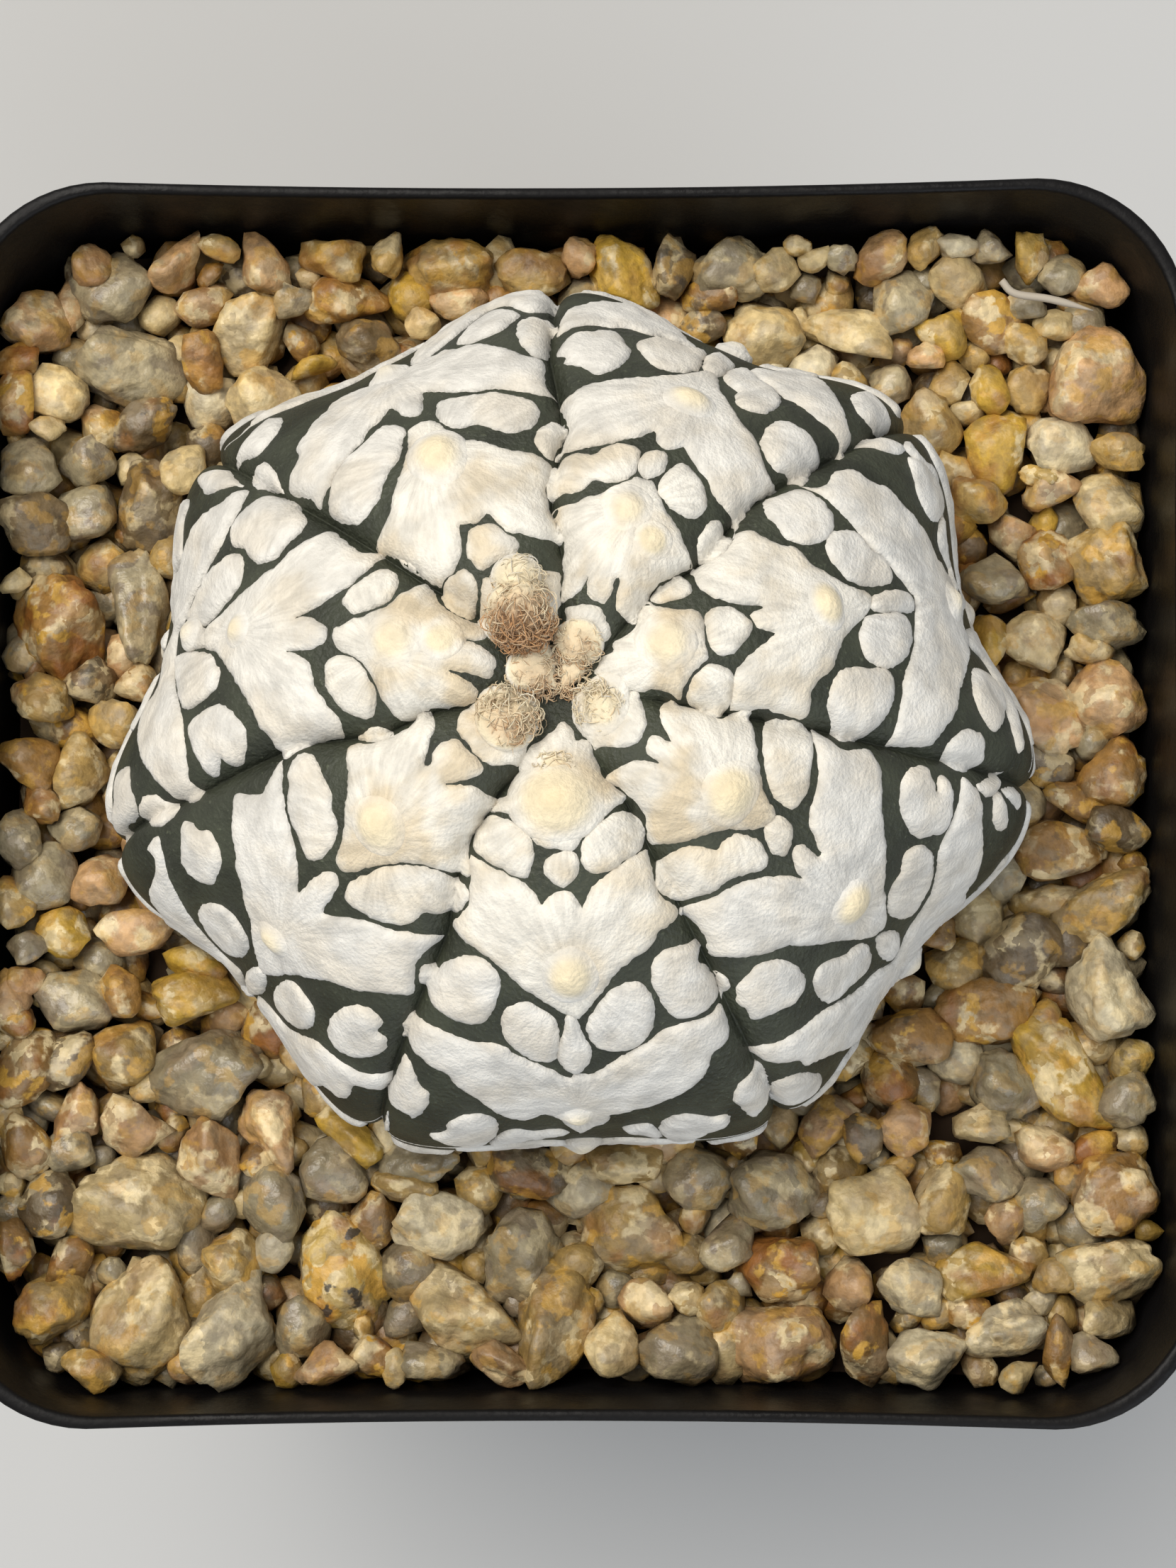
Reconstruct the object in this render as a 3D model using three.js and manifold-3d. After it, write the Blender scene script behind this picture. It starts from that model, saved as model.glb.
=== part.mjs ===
// A star cactus of the white-flecked "super kabuto" kind in a square black nursery pot.
// Millimetres, +Z up. The origin lies under the middle of the pot, on the surface it stands on.

import * as THREE from "three";
import { mergeVertices } from "three/addons/utils/BufferGeometryUtils.js";
import Module from "manifold-3d";

const wasm = await Module();
wasm.setup();

// Driving dimensions of the pot

const POT_WIDTH = 90;
const POT_HEIGHT = 80;
const POT_BASE_WIDTH = 66;
const WALL = 0.9;
const POT_FLOOR = 1.4;
const COLLAR_HEIGHT = 16;
const COLLAR_TAPER = 0.9;
const COLLAR_STEP = 1.3;
const CORNER_SHARE = 0.24;
const SIDE_BOW = 0.6;
const DRAIN_HOLE_RADIUS = 4;
const DRAIN_HOLE_REACH = 20;

// Driving dimensions of the filling

const GAP = 0.3;
const MIX_LEVEL = 62;
const GRAVEL_LEVEL = 69;
const STONE_SPACING = 6.5;
const STONE_SIZE_RANGE = [2.8, 4.4];
const STONE_SEED = 20;

// Driving dimensions of the plant

const PLANT_AXIS = new THREE.Vector2(-0.2, 4.8);
const EQUATOR_LEVEL = 79;
const DOME_RISE = 25;
const CREST_RADIUS = 29.9;
const FLANK_RADIUS = 33.1;
const MEAN_RADIUS = 31.5;
const CROWN_DIP = 2.4;
const CROWN_DIP_RADIUS = 4.5;
const PUFF = 1.1;
const CREASE_DEPTH = 1.5;
const CREASE_WIDTH = 0.9;
const BAND_HEIGHT = 0.6;
const AREOLE_HEIGHT = 1.1;
const AREOLE_RADIUS = 2;

// The grooves between the seven ribs, as azimuths in degrees, with the crest of the rib that
// follows each groove and the arc lengths from the crown to the areoles on that crest.
const RIBS = [
  { groove: 42.5, crest: 66, areoles: [12.9, 23.6, 34.5, 45.5] },
  { groove: 91, crest: 118, areoles: [18.2, 29, 40, 50] },
  { groove: 142.5, crest: 168.5, areoles: [11.2, 23.1, 34.5, 46] },
  { groove: 194.5, crest: 219.5, areoles: [15, 26.8, 38.5, 50] },
  { groove: 244.5, crest: 272, areoles: [7, 19, 32, 44] },
  { groove: 298.5, crest: 323.5, areoles: [13.1, 25.4, 37, 48] },
  { groove: 352, crest: 376, areoles: [7.4, 19.6, 32.5, 45] },
];

// The body below its widest level: share of the outline radius against depth under that level.
const LOWER_BODY = new THREE.SplineCurve([
  new THREE.Vector2(1, 0),
  new THREE.Vector2(0.985, -4),
  new THREE.Vector2(0.92, -9.5),
  new THREE.Vector2(0.74, -16),
  new THREE.Vector2(0.42, -21.5),
  new THREE.Vector2(0.22, -27),
  new THREE.Vector2(0.15, -36),
  new THREE.Vector2(0.05, -48),
]);
const LOWER_ARC = 30;

const { clamp, degToRad, lerp, smoothstep } = THREE.MathUtils;

// Seeded random draws, the same on every run.
function seededRandom(seed) {
  let state = seed;
  return () => {
    state = (state * 16807) % 2147483647;
    return state / 2147483647;
  };
}

// Change between a closed three.js geometry and a solid that can be joined and cut.
function toSolid(geometry) {
  const bare = geometry.clone();
  bare.deleteAttribute("normal");
  bare.deleteAttribute("uv");
  const merged = mergeVertices(bare, 1e-4);
  const mesh = new wasm.Mesh({
    numProp: 3,
    vertProperties: merged.attributes.position.array,
    triVerts: new Uint32Array(merged.index.array),
  });
  return new wasm.Manifold(mesh);
}

function toGeometry(solid) {
  const mesh = solid.getMesh();
  const geometry = new THREE.BufferGeometry();
  geometry.setAttribute("position", new THREE.BufferAttribute(mesh.vertProperties, 3));
  geometry.setIndex(new THREE.BufferAttribute(mesh.triVerts, 1));
  return geometry;
}

function joinAll(solids) {
  return wasm.Manifold.union(solids);
}

function largestBody(solid) {
  const bodies = solid.decompose();
  return bodies.reduce((best, body) => (body.volume() > best.volume() ? body : best));
}

// The square outline

const CORNER_STEPS = 5;
const SIDE_STEPS = 4;
const OUTLINE_STEPS = 4 * (CORNER_STEPS + SIDE_STEPS);

// One point of a square of half width h with round corners and sides that bow inward.
function squarePoint(step, half) {
  const quarter = Math.floor(step / (CORNER_STEPS + SIDE_STEPS));
  const local = step - quarter * (CORNER_STEPS + SIDE_STEPS);
  const radius = CORNER_SHARE * half;
  const bow = SIDE_BOW * (half / (POT_WIDTH / 2)) ** 4;
  const point = new THREE.Vector2(half, half - radius);
  if (local <= SIDE_STEPS) {
    const along = (2 * local) / SIDE_STEPS - 1;
    point.set(half - bow * (1 - along ** 2), along * (half - radius));
  } else {
    const turn = ((local - SIDE_STEPS) / CORNER_STEPS) * (Math.PI / 2);
    point.set(half - radius + radius * Math.cos(turn), half - radius + radius * Math.sin(turn));
  }
  return point.rotateAround(new THREE.Vector2(), quarter * (Math.PI / 2));
}

// A turned profile of half widths and levels, with its round sections made square.
function squareTurning(profile) {
  const geometry = new THREE.LatheGeometry(profile, OUTLINE_STEPS);
  geometry.rotateX(Math.PI / 2);
  const position = geometry.attributes.position;
  for (let i = 0; i < position.count; i += 1) {
    const half = Math.hypot(position.getX(i), position.getY(i));
    if (half < 1e-6) continue;
    const azimuth = Math.atan2(position.getY(i), position.getX(i)) + 2 * Math.PI;
    const step = Math.round((azimuth / (2 * Math.PI)) * OUTLINE_STEPS) % OUTLINE_STEPS;
    const point = squarePoint(step, half);
    position.setXY(i, point.x, point.y);
  }
  return geometry;
}

// The pot

const collarFoot = POT_HEIGHT - COLLAR_HEIGHT;
const collarHalf = POT_WIDTH / 2 - COLLAR_TAPER;
const taperTopHalf = collarHalf - COLLAR_STEP;

// Half width of the pot's outside at a level.
function outerHalf(level) {
  if (level >= collarFoot) {
    return lerp(collarHalf, POT_WIDTH / 2, (level - collarFoot) / COLLAR_HEIGHT);
  }
  return lerp(POT_BASE_WIDTH / 2, taperTopHalf, level / (collarFoot - COLLAR_STEP));
}

function innerHalf(level) {
  return outerHalf(level) - WALL;
}

function makePot() {
  const stepFoot = collarFoot - COLLAR_STEP;
  const profile = [
    new THREE.Vector2(0, 0),
    new THREE.Vector2(outerHalf(0), 0),
    new THREE.Vector2(outerHalf(stepFoot), stepFoot),
    new THREE.Vector2(collarHalf, collarFoot),
    new THREE.Vector2(POT_WIDTH / 2, POT_HEIGHT),
    new THREE.Vector2(innerHalf(POT_HEIGHT), POT_HEIGHT),
    new THREE.Vector2(collarHalf - WALL, collarFoot),
    new THREE.Vector2(innerHalf(stepFoot), stepFoot),
    new THREE.Vector2(innerHalf(POT_FLOOR), POT_FLOOR),
    new THREE.Vector2(0, POT_FLOOR),
  ];
  const shell = toSolid(squareTurning(profile));
  const holes = [-1, 1].flatMap((side) => [-1, 1].map((end) => {
    const hole = new THREE.CylinderGeometry(DRAIN_HOLE_RADIUS, DRAIN_HOLE_RADIUS, 3 * POT_FLOOR, 16);
    hole.rotateX(Math.PI / 2);
    hole.translate(side * DRAIN_HOLE_REACH, end * DRAIN_HOLE_REACH, POT_FLOOR / 2);
    return toSolid(hole);
  }));
  return toGeometry(shell.subtract(joinAll(holes)));
}

// The plant's body

const RIB_COLUMNS = 12;
const BODY_COLUMNS = RIBS.length * RIB_COLUMNS;
const DOME_ROWS = 36;
const LOWER_ROWS = 9;

function nextGroove(index) {
  const next = RIBS[(index + 1) % RIBS.length].groove;
  return next > RIBS[index].groove ? next : next + 360;
}

// Place across a rib: -1 in the groove before it, 0 on its crest, 1 in the groove after it.
function ribPlace(column) {
  const index = Math.floor(column / RIB_COLUMNS) % RIBS.length;
  const share = (2 * (column % RIB_COLUMNS)) / RIB_COLUMNS - 1;
  const across = Math.sign(share) * Math.abs(share) ** 0.85;
  const rib = RIBS[index];
  const edge = across < 0 ? rib.groove : nextGroove(index);
  return { rib, across, azimuth: degToRad(lerp(rib.crest, edge, Math.abs(across))) };
}

// The dome's meridian is a quarter ellipse, walked once for its arc lengths.
const MERIDIAN_STEPS = 200;
const meridianArcs = [0];
for (let i = 1; i <= MERIDIAN_STEPS; i += 1) {
  const angle = ((i - 0.5) / MERIDIAN_STEPS) * (Math.PI / 2);
  const pace = Math.hypot(MEAN_RADIUS * Math.cos(angle), DOME_RISE * Math.sin(angle));
  meridianArcs.push(meridianArcs[i - 1] + (pace * Math.PI) / 2 / MERIDIAN_STEPS);
}
const domeArc = meridianArcs[MERIDIAN_STEPS];

// Share of the radius, level over the widest level and outward tilt at an arc from the crown.
function meridian(arc) {
  if (arc <= domeArc) {
    const found = meridianArcs.findIndex((value) => value >= arc);
    const angle = (found / MERIDIAN_STEPS) * (Math.PI / 2);
    const out = Math.sin(angle) / MEAN_RADIUS;
    const up = Math.cos(angle) / DOME_RISE;
    const length = Math.hypot(out, up);
    return { share: Math.sin(angle), level: DOME_RISE * Math.cos(angle), out: out / length, up: up / length };
  }
  const point = LOWER_BODY.getPoint(clamp((arc - domeArc) / LOWER_ARC, 0, 1));
  return { share: point.x, level: point.y, out: 1, up: 0 };
}

// Height of the felt over the green skin: V-shaped bands whose arms rise from the areole to the
// grooves, two oval flecks a side between them, and the round areole pads on the crest.
function feltHeight(side, reach, arc, areoles) {
  let height = 0;
  for (const [i, areole] of areoles.entries()) {
    const band = areole + 1 - 0.72 * side;
    height = Math.max(height, BAND_HEIGHT * smoothstep(2.9 - Math.abs(arc - band), 0, 1));
    const outward = (areoles[i + 1] ?? areole + 12) - areole;
    for (const place of [0.34, 0.76]) {
      const middle = band + 0.5 * outward + 0.72 * (side - place * reach);
      const far = Math.hypot((side - place * reach) / (0.19 * reach), (arc - middle) / 1.9);
      height = Math.max(height, BAND_HEIGHT * smoothstep(1.2 - far, 0, 0.4));
    }
    const pad = Math.hypot(side, arc - areole) / AREOLE_RADIUS;
    if (pad < 1) height += AREOLE_HEIGHT * Math.sqrt(1 - pad ** 2);
  }
  return height;
}

function bodyPoint(column, arc, margin) {
  const { rib, across, azimuth } = ribPlace(column);
  const { share, level, out, up } = meridian(arc);
  const side = Math.abs(across);
  const ribbing = smoothstep(arc, 10, 0.9 * domeArc) * smoothstep(share, 0.1, 0.9);
  const outline = lerp(CREST_RADIUS, FLANK_RADIUS, smoothstep(side / 0.85, 0, 1));
  const radius = lerp(MEAN_RADIUS, outline, ribbing);
  const reach = Math.max(0.1, share * radius * degToRad(180 / RIBS.length));
  const crease = CREASE_DEPTH * Math.exp(-((1 - side) * reach) / CREASE_WIDTH);
  const puff = PUFF * (1 - ribbing) * (1 - side ** 2) * smoothstep(share, 0.05, 0.35);
  const buried = smoothstep(arc, domeArc + 9, domeArc + 13);
  const fade = smoothstep(reach, 0.5, 4) * (1 - buried);
  const felt = feltHeight(side * reach, reach, arc, rib.areoles) * smoothstep(arc, 4, 8);
  const lift = fade * (felt - crease) + puff * (1 - buried);
  const spread = share * radius;
  const dip = arc < domeArc ? CROWN_DIP * Math.exp(-((spread / CROWN_DIP_RADIUS) ** 2)) : 0;
  const away = spread + out * (lift + margin);
  return new THREE.Vector3(
    PLANT_AXIS.x + away * Math.cos(azimuth),
    PLANT_AXIS.y + away * Math.sin(azimuth),
    EQUATOR_LEVEL + level + up * (lift + margin) - dip,
  );
}

// Arc length from the crown at a row of the body, with the last row at the root's tip.
function rowArc(row) {
  if (row <= DOME_ROWS) return (domeArc * row) / DOME_ROWS;
  return domeArc + (LOWER_ARC * (row - DOME_ROWS)) / LOWER_ROWS;
}

// The rib body and its taproot: a sphere's grid of columns and rows moved onto the plant's form.
// A margin over zero gives the space that the body needs in what lies against it.
function makeBody(margin) {
  const rows = DOME_ROWS + LOWER_ROWS;
  const sphere = new THREE.SphereGeometry(1, BODY_COLUMNS, rows);
  const position = sphere.attributes.position;
  for (let i = 0; i < position.count; i += 1) {
    const row = Math.floor(i / (BODY_COLUMNS + 1));
    const column = (i % (BODY_COLUMNS + 1)) % BODY_COLUMNS;
    const point = bodyPoint(column, rowArc(row), margin);
    if (row === 0 || row === rows) {
      point.x = PLANT_AXIS.x;
      point.y = PLANT_AXIS.y;
      point.z -= row === rows ? 2 * margin : 0;
    }
    position.setXYZ(i, point.x, point.y, point.z);
  }
  return toSolid(sphere);
}

// The crown's wool

// Tufts as offset east, offset north, radius and height over the crown's hollow.
const WOOL_TUFTS = [
  [-2.9, 4.7, 2.5, 2.3],
  [-1.4, 2.6, 2, 1.5],
  [0.5, 2.7, 1.6, 1.2],
  [0, 0, 1.8, 1.2],
  [2.1, -1.2, 2.2, 1.6],
  [-3.4, -2.4, 2.5, 1.6],
  [-1.6, -0.9, 1.8, 1.1],
];

function makeWool(clearance) {
  const hollow = EQUATOR_LEVEL + DOME_RISE - CROWN_DIP;
  const tufts = WOOL_TUFTS.map(([east, north, radius, height]) => {
    const tuft = new THREE.IcosahedronGeometry(1, 1);
    tuft.scale(radius, radius, height + 1);
    tuft.translate(PLANT_AXIS.x + east, PLANT_AXIS.y + north, hollow + 0.35);
    return toSolid(tuft);
  });
  return largestBody(joinAll(tufts).subtract(clearance));
}

// The filling

function bedBetween(bottom, top) {
  const profile = [
    new THREE.Vector2(0, bottom),
    new THREE.Vector2(innerHalf(bottom) - GAP, bottom),
    new THREE.Vector2(innerHalf(top) - GAP, top),
    new THREE.Vector2(0, top),
  ];
  return toSolid(squareTurning(profile));
}

function makeMix(clearance) {
  return largestBody(bedBetween(POT_FLOOR + GAP, MIX_LEVEL).subtract(clearance));
}

// One faceted stone: a twelve-cornered solid with its corners pushed in or out and squashed.
function makeStone(random, x, y, size) {
  const stone = new THREE.IcosahedronGeometry(1, 0);
  const merged = mergeVertices(stone.deleteAttribute("uv").deleteAttribute("normal"));
  const position = merged.attributes.position;
  for (let i = 0; i < position.count; i += 1) {
    const push = 0.86 + 0.28 * random();
    position.setXYZ(i, position.getX(i) * push, position.getY(i) * push, position.getZ(i) * push);
  }
  merged.scale(size * (0.95 + 0.35 * random()), size * (0.8 + 0.2 * random()), size * 0.75);
  merged.rotateX(0.5 * (random() - 0.5));
  merged.rotateZ(Math.PI * random());
  merged.translate(x, y, GRAVEL_LEVEL + 0.12 * size + 0.8 * random());
  return toSolid(merged);
}

// Stones on a jittered grid of staggered rows that keep clear of the wall and of the body.
function makeStones() {
  const random = seededRandom(STONE_SEED);
  const reach = innerHalf(GRAVEL_LEVEL);
  const rows = Math.floor((2 * reach) / (0.87 * STONE_SPACING));
  const stones = [];
  for (let row = 0; row <= rows; row += 1) {
    for (let place = 0; place <= rows; place += 1) {
      const stagger = (row % 2) / 2;
      const x = (place + stagger - rows / 2) * STONE_SPACING + 2.2 * (random() - 0.5);
      const y = (row - rows / 2) * 0.87 * STONE_SPACING + 2.2 * (random() - 0.5);
      const size = lerp(STONE_SIZE_RANGE[0], STONE_SIZE_RANGE[1], random());
      const toAxis = Math.hypot(x - PLANT_AXIS.x, y - PLANT_AXIS.y);
      const inPot = Math.max(Math.abs(x), Math.abs(y)) < reach - 0.9 * size;
      if (inPot && toAxis > CREST_RADIUS - 2) stones.push(makeStone(random, x, y, size));
    }
  }
  return joinAll(stones);
}

function makeGravel(clearance) {
  const bed = bedBetween(MIX_LEVEL + GAP, GRAVEL_LEVEL);
  const room = bedBetween(MIX_LEVEL + GAP, POT_HEIGHT - 2);
  return largestBody(bed.add(makeStones().intersect(room)).subtract(clearance));
}

// The scene graph

function addPiece(group, name, geometry, color, roughness) {
  const material = new THREE.MeshStandardMaterial({ color, roughness, metalness: 0, flatShading: true });
  const piece = new THREE.Mesh(geometry, material);
  piece.name = name;
  group.add(piece);
}

const body = makeBody(0);
const clearance = makeBody(GAP);
const group = new THREE.Group();
group.name = "potted_star_cactus";
addPiece(group, "pot", makePot(), 0x17181a, 0.45);
addPiece(group, "potting_mix", toGeometry(makeMix(clearance)), 0x3a2f26, 1);
addPiece(group, "gravel", toGeometry(makeGravel(clearance)), 0xb39467, 0.85);
addPiece(group, "cactus", toGeometry(body), 0xbdb9ab, 0.9);
addPiece(group, "crown_wool", toGeometry(makeWool(clearance)), 0xb59c7c, 1);

export default group;
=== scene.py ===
"""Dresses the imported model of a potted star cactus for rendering.

The plant is a seven-ribbed dome with white felt flecks, raised areole pads and a woolly crown. It stands in
decomposed granite in a square black nursery pot. Everything is made in millimetres and stored in metres, in
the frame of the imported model.
"""

import math

import bpy
import numpy as np
from mathutils import Euler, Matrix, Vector
from mathutils.geometry import delaunay_2d_cdt


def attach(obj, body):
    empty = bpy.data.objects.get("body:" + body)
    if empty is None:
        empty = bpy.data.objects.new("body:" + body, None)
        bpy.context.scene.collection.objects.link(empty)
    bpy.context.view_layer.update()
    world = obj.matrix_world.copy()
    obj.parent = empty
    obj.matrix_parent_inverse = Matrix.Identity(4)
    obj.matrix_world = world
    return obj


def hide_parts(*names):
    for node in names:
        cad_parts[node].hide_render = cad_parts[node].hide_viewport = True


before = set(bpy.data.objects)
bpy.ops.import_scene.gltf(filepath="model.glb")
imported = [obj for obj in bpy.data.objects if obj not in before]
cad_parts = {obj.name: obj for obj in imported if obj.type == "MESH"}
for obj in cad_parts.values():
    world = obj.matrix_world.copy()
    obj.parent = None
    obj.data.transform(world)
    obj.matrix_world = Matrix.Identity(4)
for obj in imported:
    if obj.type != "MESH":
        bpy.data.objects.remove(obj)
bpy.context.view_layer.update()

bl_info = {
    "name": "Potted star cactus",
    "version": (1, 0, 0),
    "blender": (4, 5, 0),
    "location": "View3D > Sidebar > Star cactus",
    "description": "Builds a star cactus with felt flecks in a gravel-topped nursery pot",
    "category": "Add Mesh",
}

MM = 0.001
BODY = "root"

# Sizes of the pot, in millimetres

POT_WIDTH = 90.0
POT_HEIGHT = 80.0
POT_BASE_WIDTH = 66.0
WALL = 0.9
POT_FLOOR = 1.4
COLLAR_HEIGHT = 16.0
COLLAR_TAPER = 0.9
COLLAR_STEP = 1.3
CORNER_SHARE = 0.24
SIDE_BOW = 0.6
DRAIN_HOLE_RADIUS = 4.0
DRAIN_HOLE_REACH = 20.0

# Sizes of the plant, in millimetres and degrees

PLANT_AXIS = np.array([-0.2, 4.8])
EQUATOR_LEVEL = 79.0
DOME_RISE = 25.0
MEAN_RADIUS = 31.5
CROWN_DIP = 2.4
CROWN_DIP_RADIUS = 4.5
PUFF = 1.1
CREASE_DEPTH = 1.2
CREASE_WIDTH = 0.6
LOWER_BODY = np.array([
    (1, 0), (0.985, -4), (0.92, -9.5), (0.74, -16), (0.42, -21.5), (0.22, -27), (0.15, -36), (0.05, -48),
])

# The ribs in order round the plant: the azimuth of the groove before each, and of its crest.
RIB_NAMES = ("right_far", "far", "left", "left_near", "near", "right_near", "right")
GROOVES = np.array([42.5, 91, 142.5, 194.5, 244.5, 298.5, 352])
CRESTS = np.array([66, 118, 168.5, 219.5, 272, 323.5, 376])
AREOLE_ARCS = (
    (12.9, 23.6, 34.5, 45.5), (18.2, 29, 40, 50), (11.2, 23.1, 34.5, 46), (15, 26.8, 38.5, 50),
    (7, 19, 32, 44), (13.1, 25.4, 37, 48), (7.4, 19.6, 32.5, 45),
)
# Outline radii at the widest level: at each groove, and on each crest.
FLANK_RADII = np.array([33.0, 31.4, 32.2, 33.4, 32.0, 31.9, 33.6])
CREST_RADII = np.array([29.3, 29.0, 29.4, 29.5, 29.6, 29.6, 29.8])
# How far each groove wanders from its azimuth, in degrees, at six arc lengths from the crown.
WANDER_ARCS = (4, 8, 12, 18, 26, 40)
GROOVE_WANDER = np.array([
    (0, 5, 0, 3, 0, -2), (-3, -3, 2, -1.5, 1, 0), (-5, -4, -1, 0, 1, 0.5), (-2, -5, -1, -4, -1, 0.5),
    (3, -5, -6, 0, 0, 0.5), (-2, 2, 1, 0.5, 0, 0), (2, 1, 0, 0, -0.5, 0),
])

# The camera, fitted to the pot's rim in the photograph

PHOTO_SIZE = np.array([1659.0, 2212.0])
FOCAL_PIXELS = 4000.0
CAMERA_PLACE = np.array([3.5, -16.3, POT_HEIGHT + 202.6])
CAMERA_TURN = tuple(math.radians(angle) for angle in (4.78, 0.62, -0.05))


# Small helpers

def smooth(value, low=0.0, high=1.0):
    """The smooth step: 0 below low, 1 above high, and 3t^2 - 2t^3 between them."""
    t = np.clip((value - low) / (high - low), 0, 1)
    return t * t * (3 - 2 * t)


def mix(a, b, share):
    """The straight blend from a to b."""
    return a + (b - a) * share


def catmull_rom(points, steps, closed=False):
    """A Catmull-Rom curve through the points: each stretch is the cubic whose end slopes are half the
    difference of the neighbouring points."""
    points = np.asarray(points, float)
    if closed:
        p0, p1, p2, p3 = (np.roll(points, shift, axis=0) for shift in (1, 0, -1, -2))
    else:
        padded = np.vstack([2 * points[0] - points[1], points, 2 * points[-1] - points[-2]])
        p0, p1, p2, p3 = padded[:-3], padded[1:-2], padded[2:-1], padded[3:]
    t = (np.arange(steps) / steps)[None, :, None]
    a, b, c, d = (p[:, None, :] for p in (p0, p1, p2, p3))
    curve = 0.5 * (2 * b + (c - a) * t + (2 * a - 5 * b + 4 * c - d) * t**2 + (3 * b - a - 3 * c + d) * t**3)
    curve = curve.reshape(-1, points.shape[1])
    return curve if closed else np.vstack([curve, points[-1]])


def even_steps(curve, spacing, closed=False):
    """The curve walked again in equal steps of about the spacing."""
    path = np.vstack([curve, curve[0]]) if closed else curve
    lengths = np.hypot(*np.diff(path, axis=0).T)
    walked = np.concatenate([[0], np.cumsum(lengths)])
    count = max(8, int(round(walked[-1] / spacing)))
    stations = np.linspace(0, walked[-1], count, endpoint=not closed)
    return np.column_stack([np.interp(stations, walked, path[:, axis]) for axis in range(path.shape[1])])


def wave_noise(points, seed, size, waves=14):
    """Soft noise between about -1 and 1: a sum of sines along random directions, with wavelengths near size."""
    draw = np.random.default_rng(seed)
    directions = draw.normal(size=(waves, points.shape[1]))
    directions /= np.linalg.norm(directions, axis=1, keepdims=True)
    pace = 2 * np.pi / (size * draw.uniform(0.7, 1.5, waves))
    phases = draw.uniform(0, 2 * np.pi, waves)
    return np.sin(points @ directions.T * pace + phases).sum(1) / math.sqrt(waves)


def add_piece(name, points, faces, material, attributes=None):
    """Puts points in millimetres and faces into a mesh object at the origin that rides on the body."""
    mesh = bpy.data.meshes.new(name)
    mesh.from_pydata((np.asarray(points) * MM).tolist(), [], [list(face) for face in faces])
    for key, values in (attributes or {}).items():
        kind = "FLOAT_VECTOR" if values.ndim == 2 else "FLOAT"
        layer = mesh.attributes.new(key, kind, "POINT")
        layer.data.foreach_set("vector" if values.ndim == 2 else "value", values.astype(np.float32).ravel())
    mesh.polygons.foreach_set("use_smooth", np.ones(len(mesh.polygons), bool))
    mesh.update()
    piece = bpy.data.objects.new(name, mesh)
    bpy.context.scene.collection.objects.link(piece)
    mesh.materials.append(material)
    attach(piece, BODY)
    return piece


def grid_faces(rows, columns, closed_columns=True):
    """Quads of a grid of rows by columns, whose columns may close on themselves."""
    last = columns if closed_columns else columns - 1
    row, column = np.meshgrid(np.arange(rows - 1), np.arange(last), indexing="ij")
    following = (column + 1) % columns
    a, b = row * columns + column, row * columns + following
    return np.stack([a, b, b + columns, a + columns], -1).reshape(-1, 4)


# The plant's form

DOME_STEPS = 400
RIB_COLUMNS = 64


def build_meridian():
    """The meridian as a table of arc length, share of the outline radius and level over the equator: a quarter
    ellipse for the dome, then a smooth curve through the lower body's points."""
    angle = np.linspace(0, np.pi / 2, DOME_STEPS)
    dome = np.column_stack([np.sin(angle), DOME_RISE * np.cos(angle)])
    profile = np.vstack([dome, catmull_rom(LOWER_BODY, 24)[1:]])
    steps = np.hypot(np.diff(profile[:, 0]) * MEAN_RADIUS, np.diff(profile[:, 1]))
    return np.concatenate([[0], np.cumsum(steps)]), profile[:, 0], profile[:, 1]


ARCS, SHARES, LEVELS = build_meridian()
DOME_ARC = ARCS[DOME_STEPS - 1]
SLOPE_OUT = -np.gradient(LEVELS, ARCS)
SLOPE_UP = np.gradient(SHARES * MEAN_RADIUS, ARCS)


def across_rib(azimuth, arc):
    """Which rib a point is on, and its place across it: -1 and 1 in its grooves and 0 on its crest."""
    turn = (np.asarray(azimuth, float) - GROOVES[0] + 10) % 360 + GROOVES[0] - 10
    wander = np.stack([np.interp(arc, WANDER_ARCS, row) for row in GROOVE_WANDER])
    edges = GROOVES.reshape(-1, *[1] * np.ndim(arc)) + wander
    index = (turn >= edges).sum(0) - 1
    turn = np.where(index < 0, turn + 360, turn)
    index = np.where(index < 0, 6, index)
    before = np.take_along_axis(edges, index[None], 0)[0]
    after = np.take_along_axis(edges, ((index + 1) % 7)[None], 0)[0] + np.where(index == 6, 360, 0)
    crest = CRESTS[index]
    place = np.where(turn < crest, (turn - crest) / (crest - before), (turn - crest) / (after - crest))
    return index, place


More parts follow.
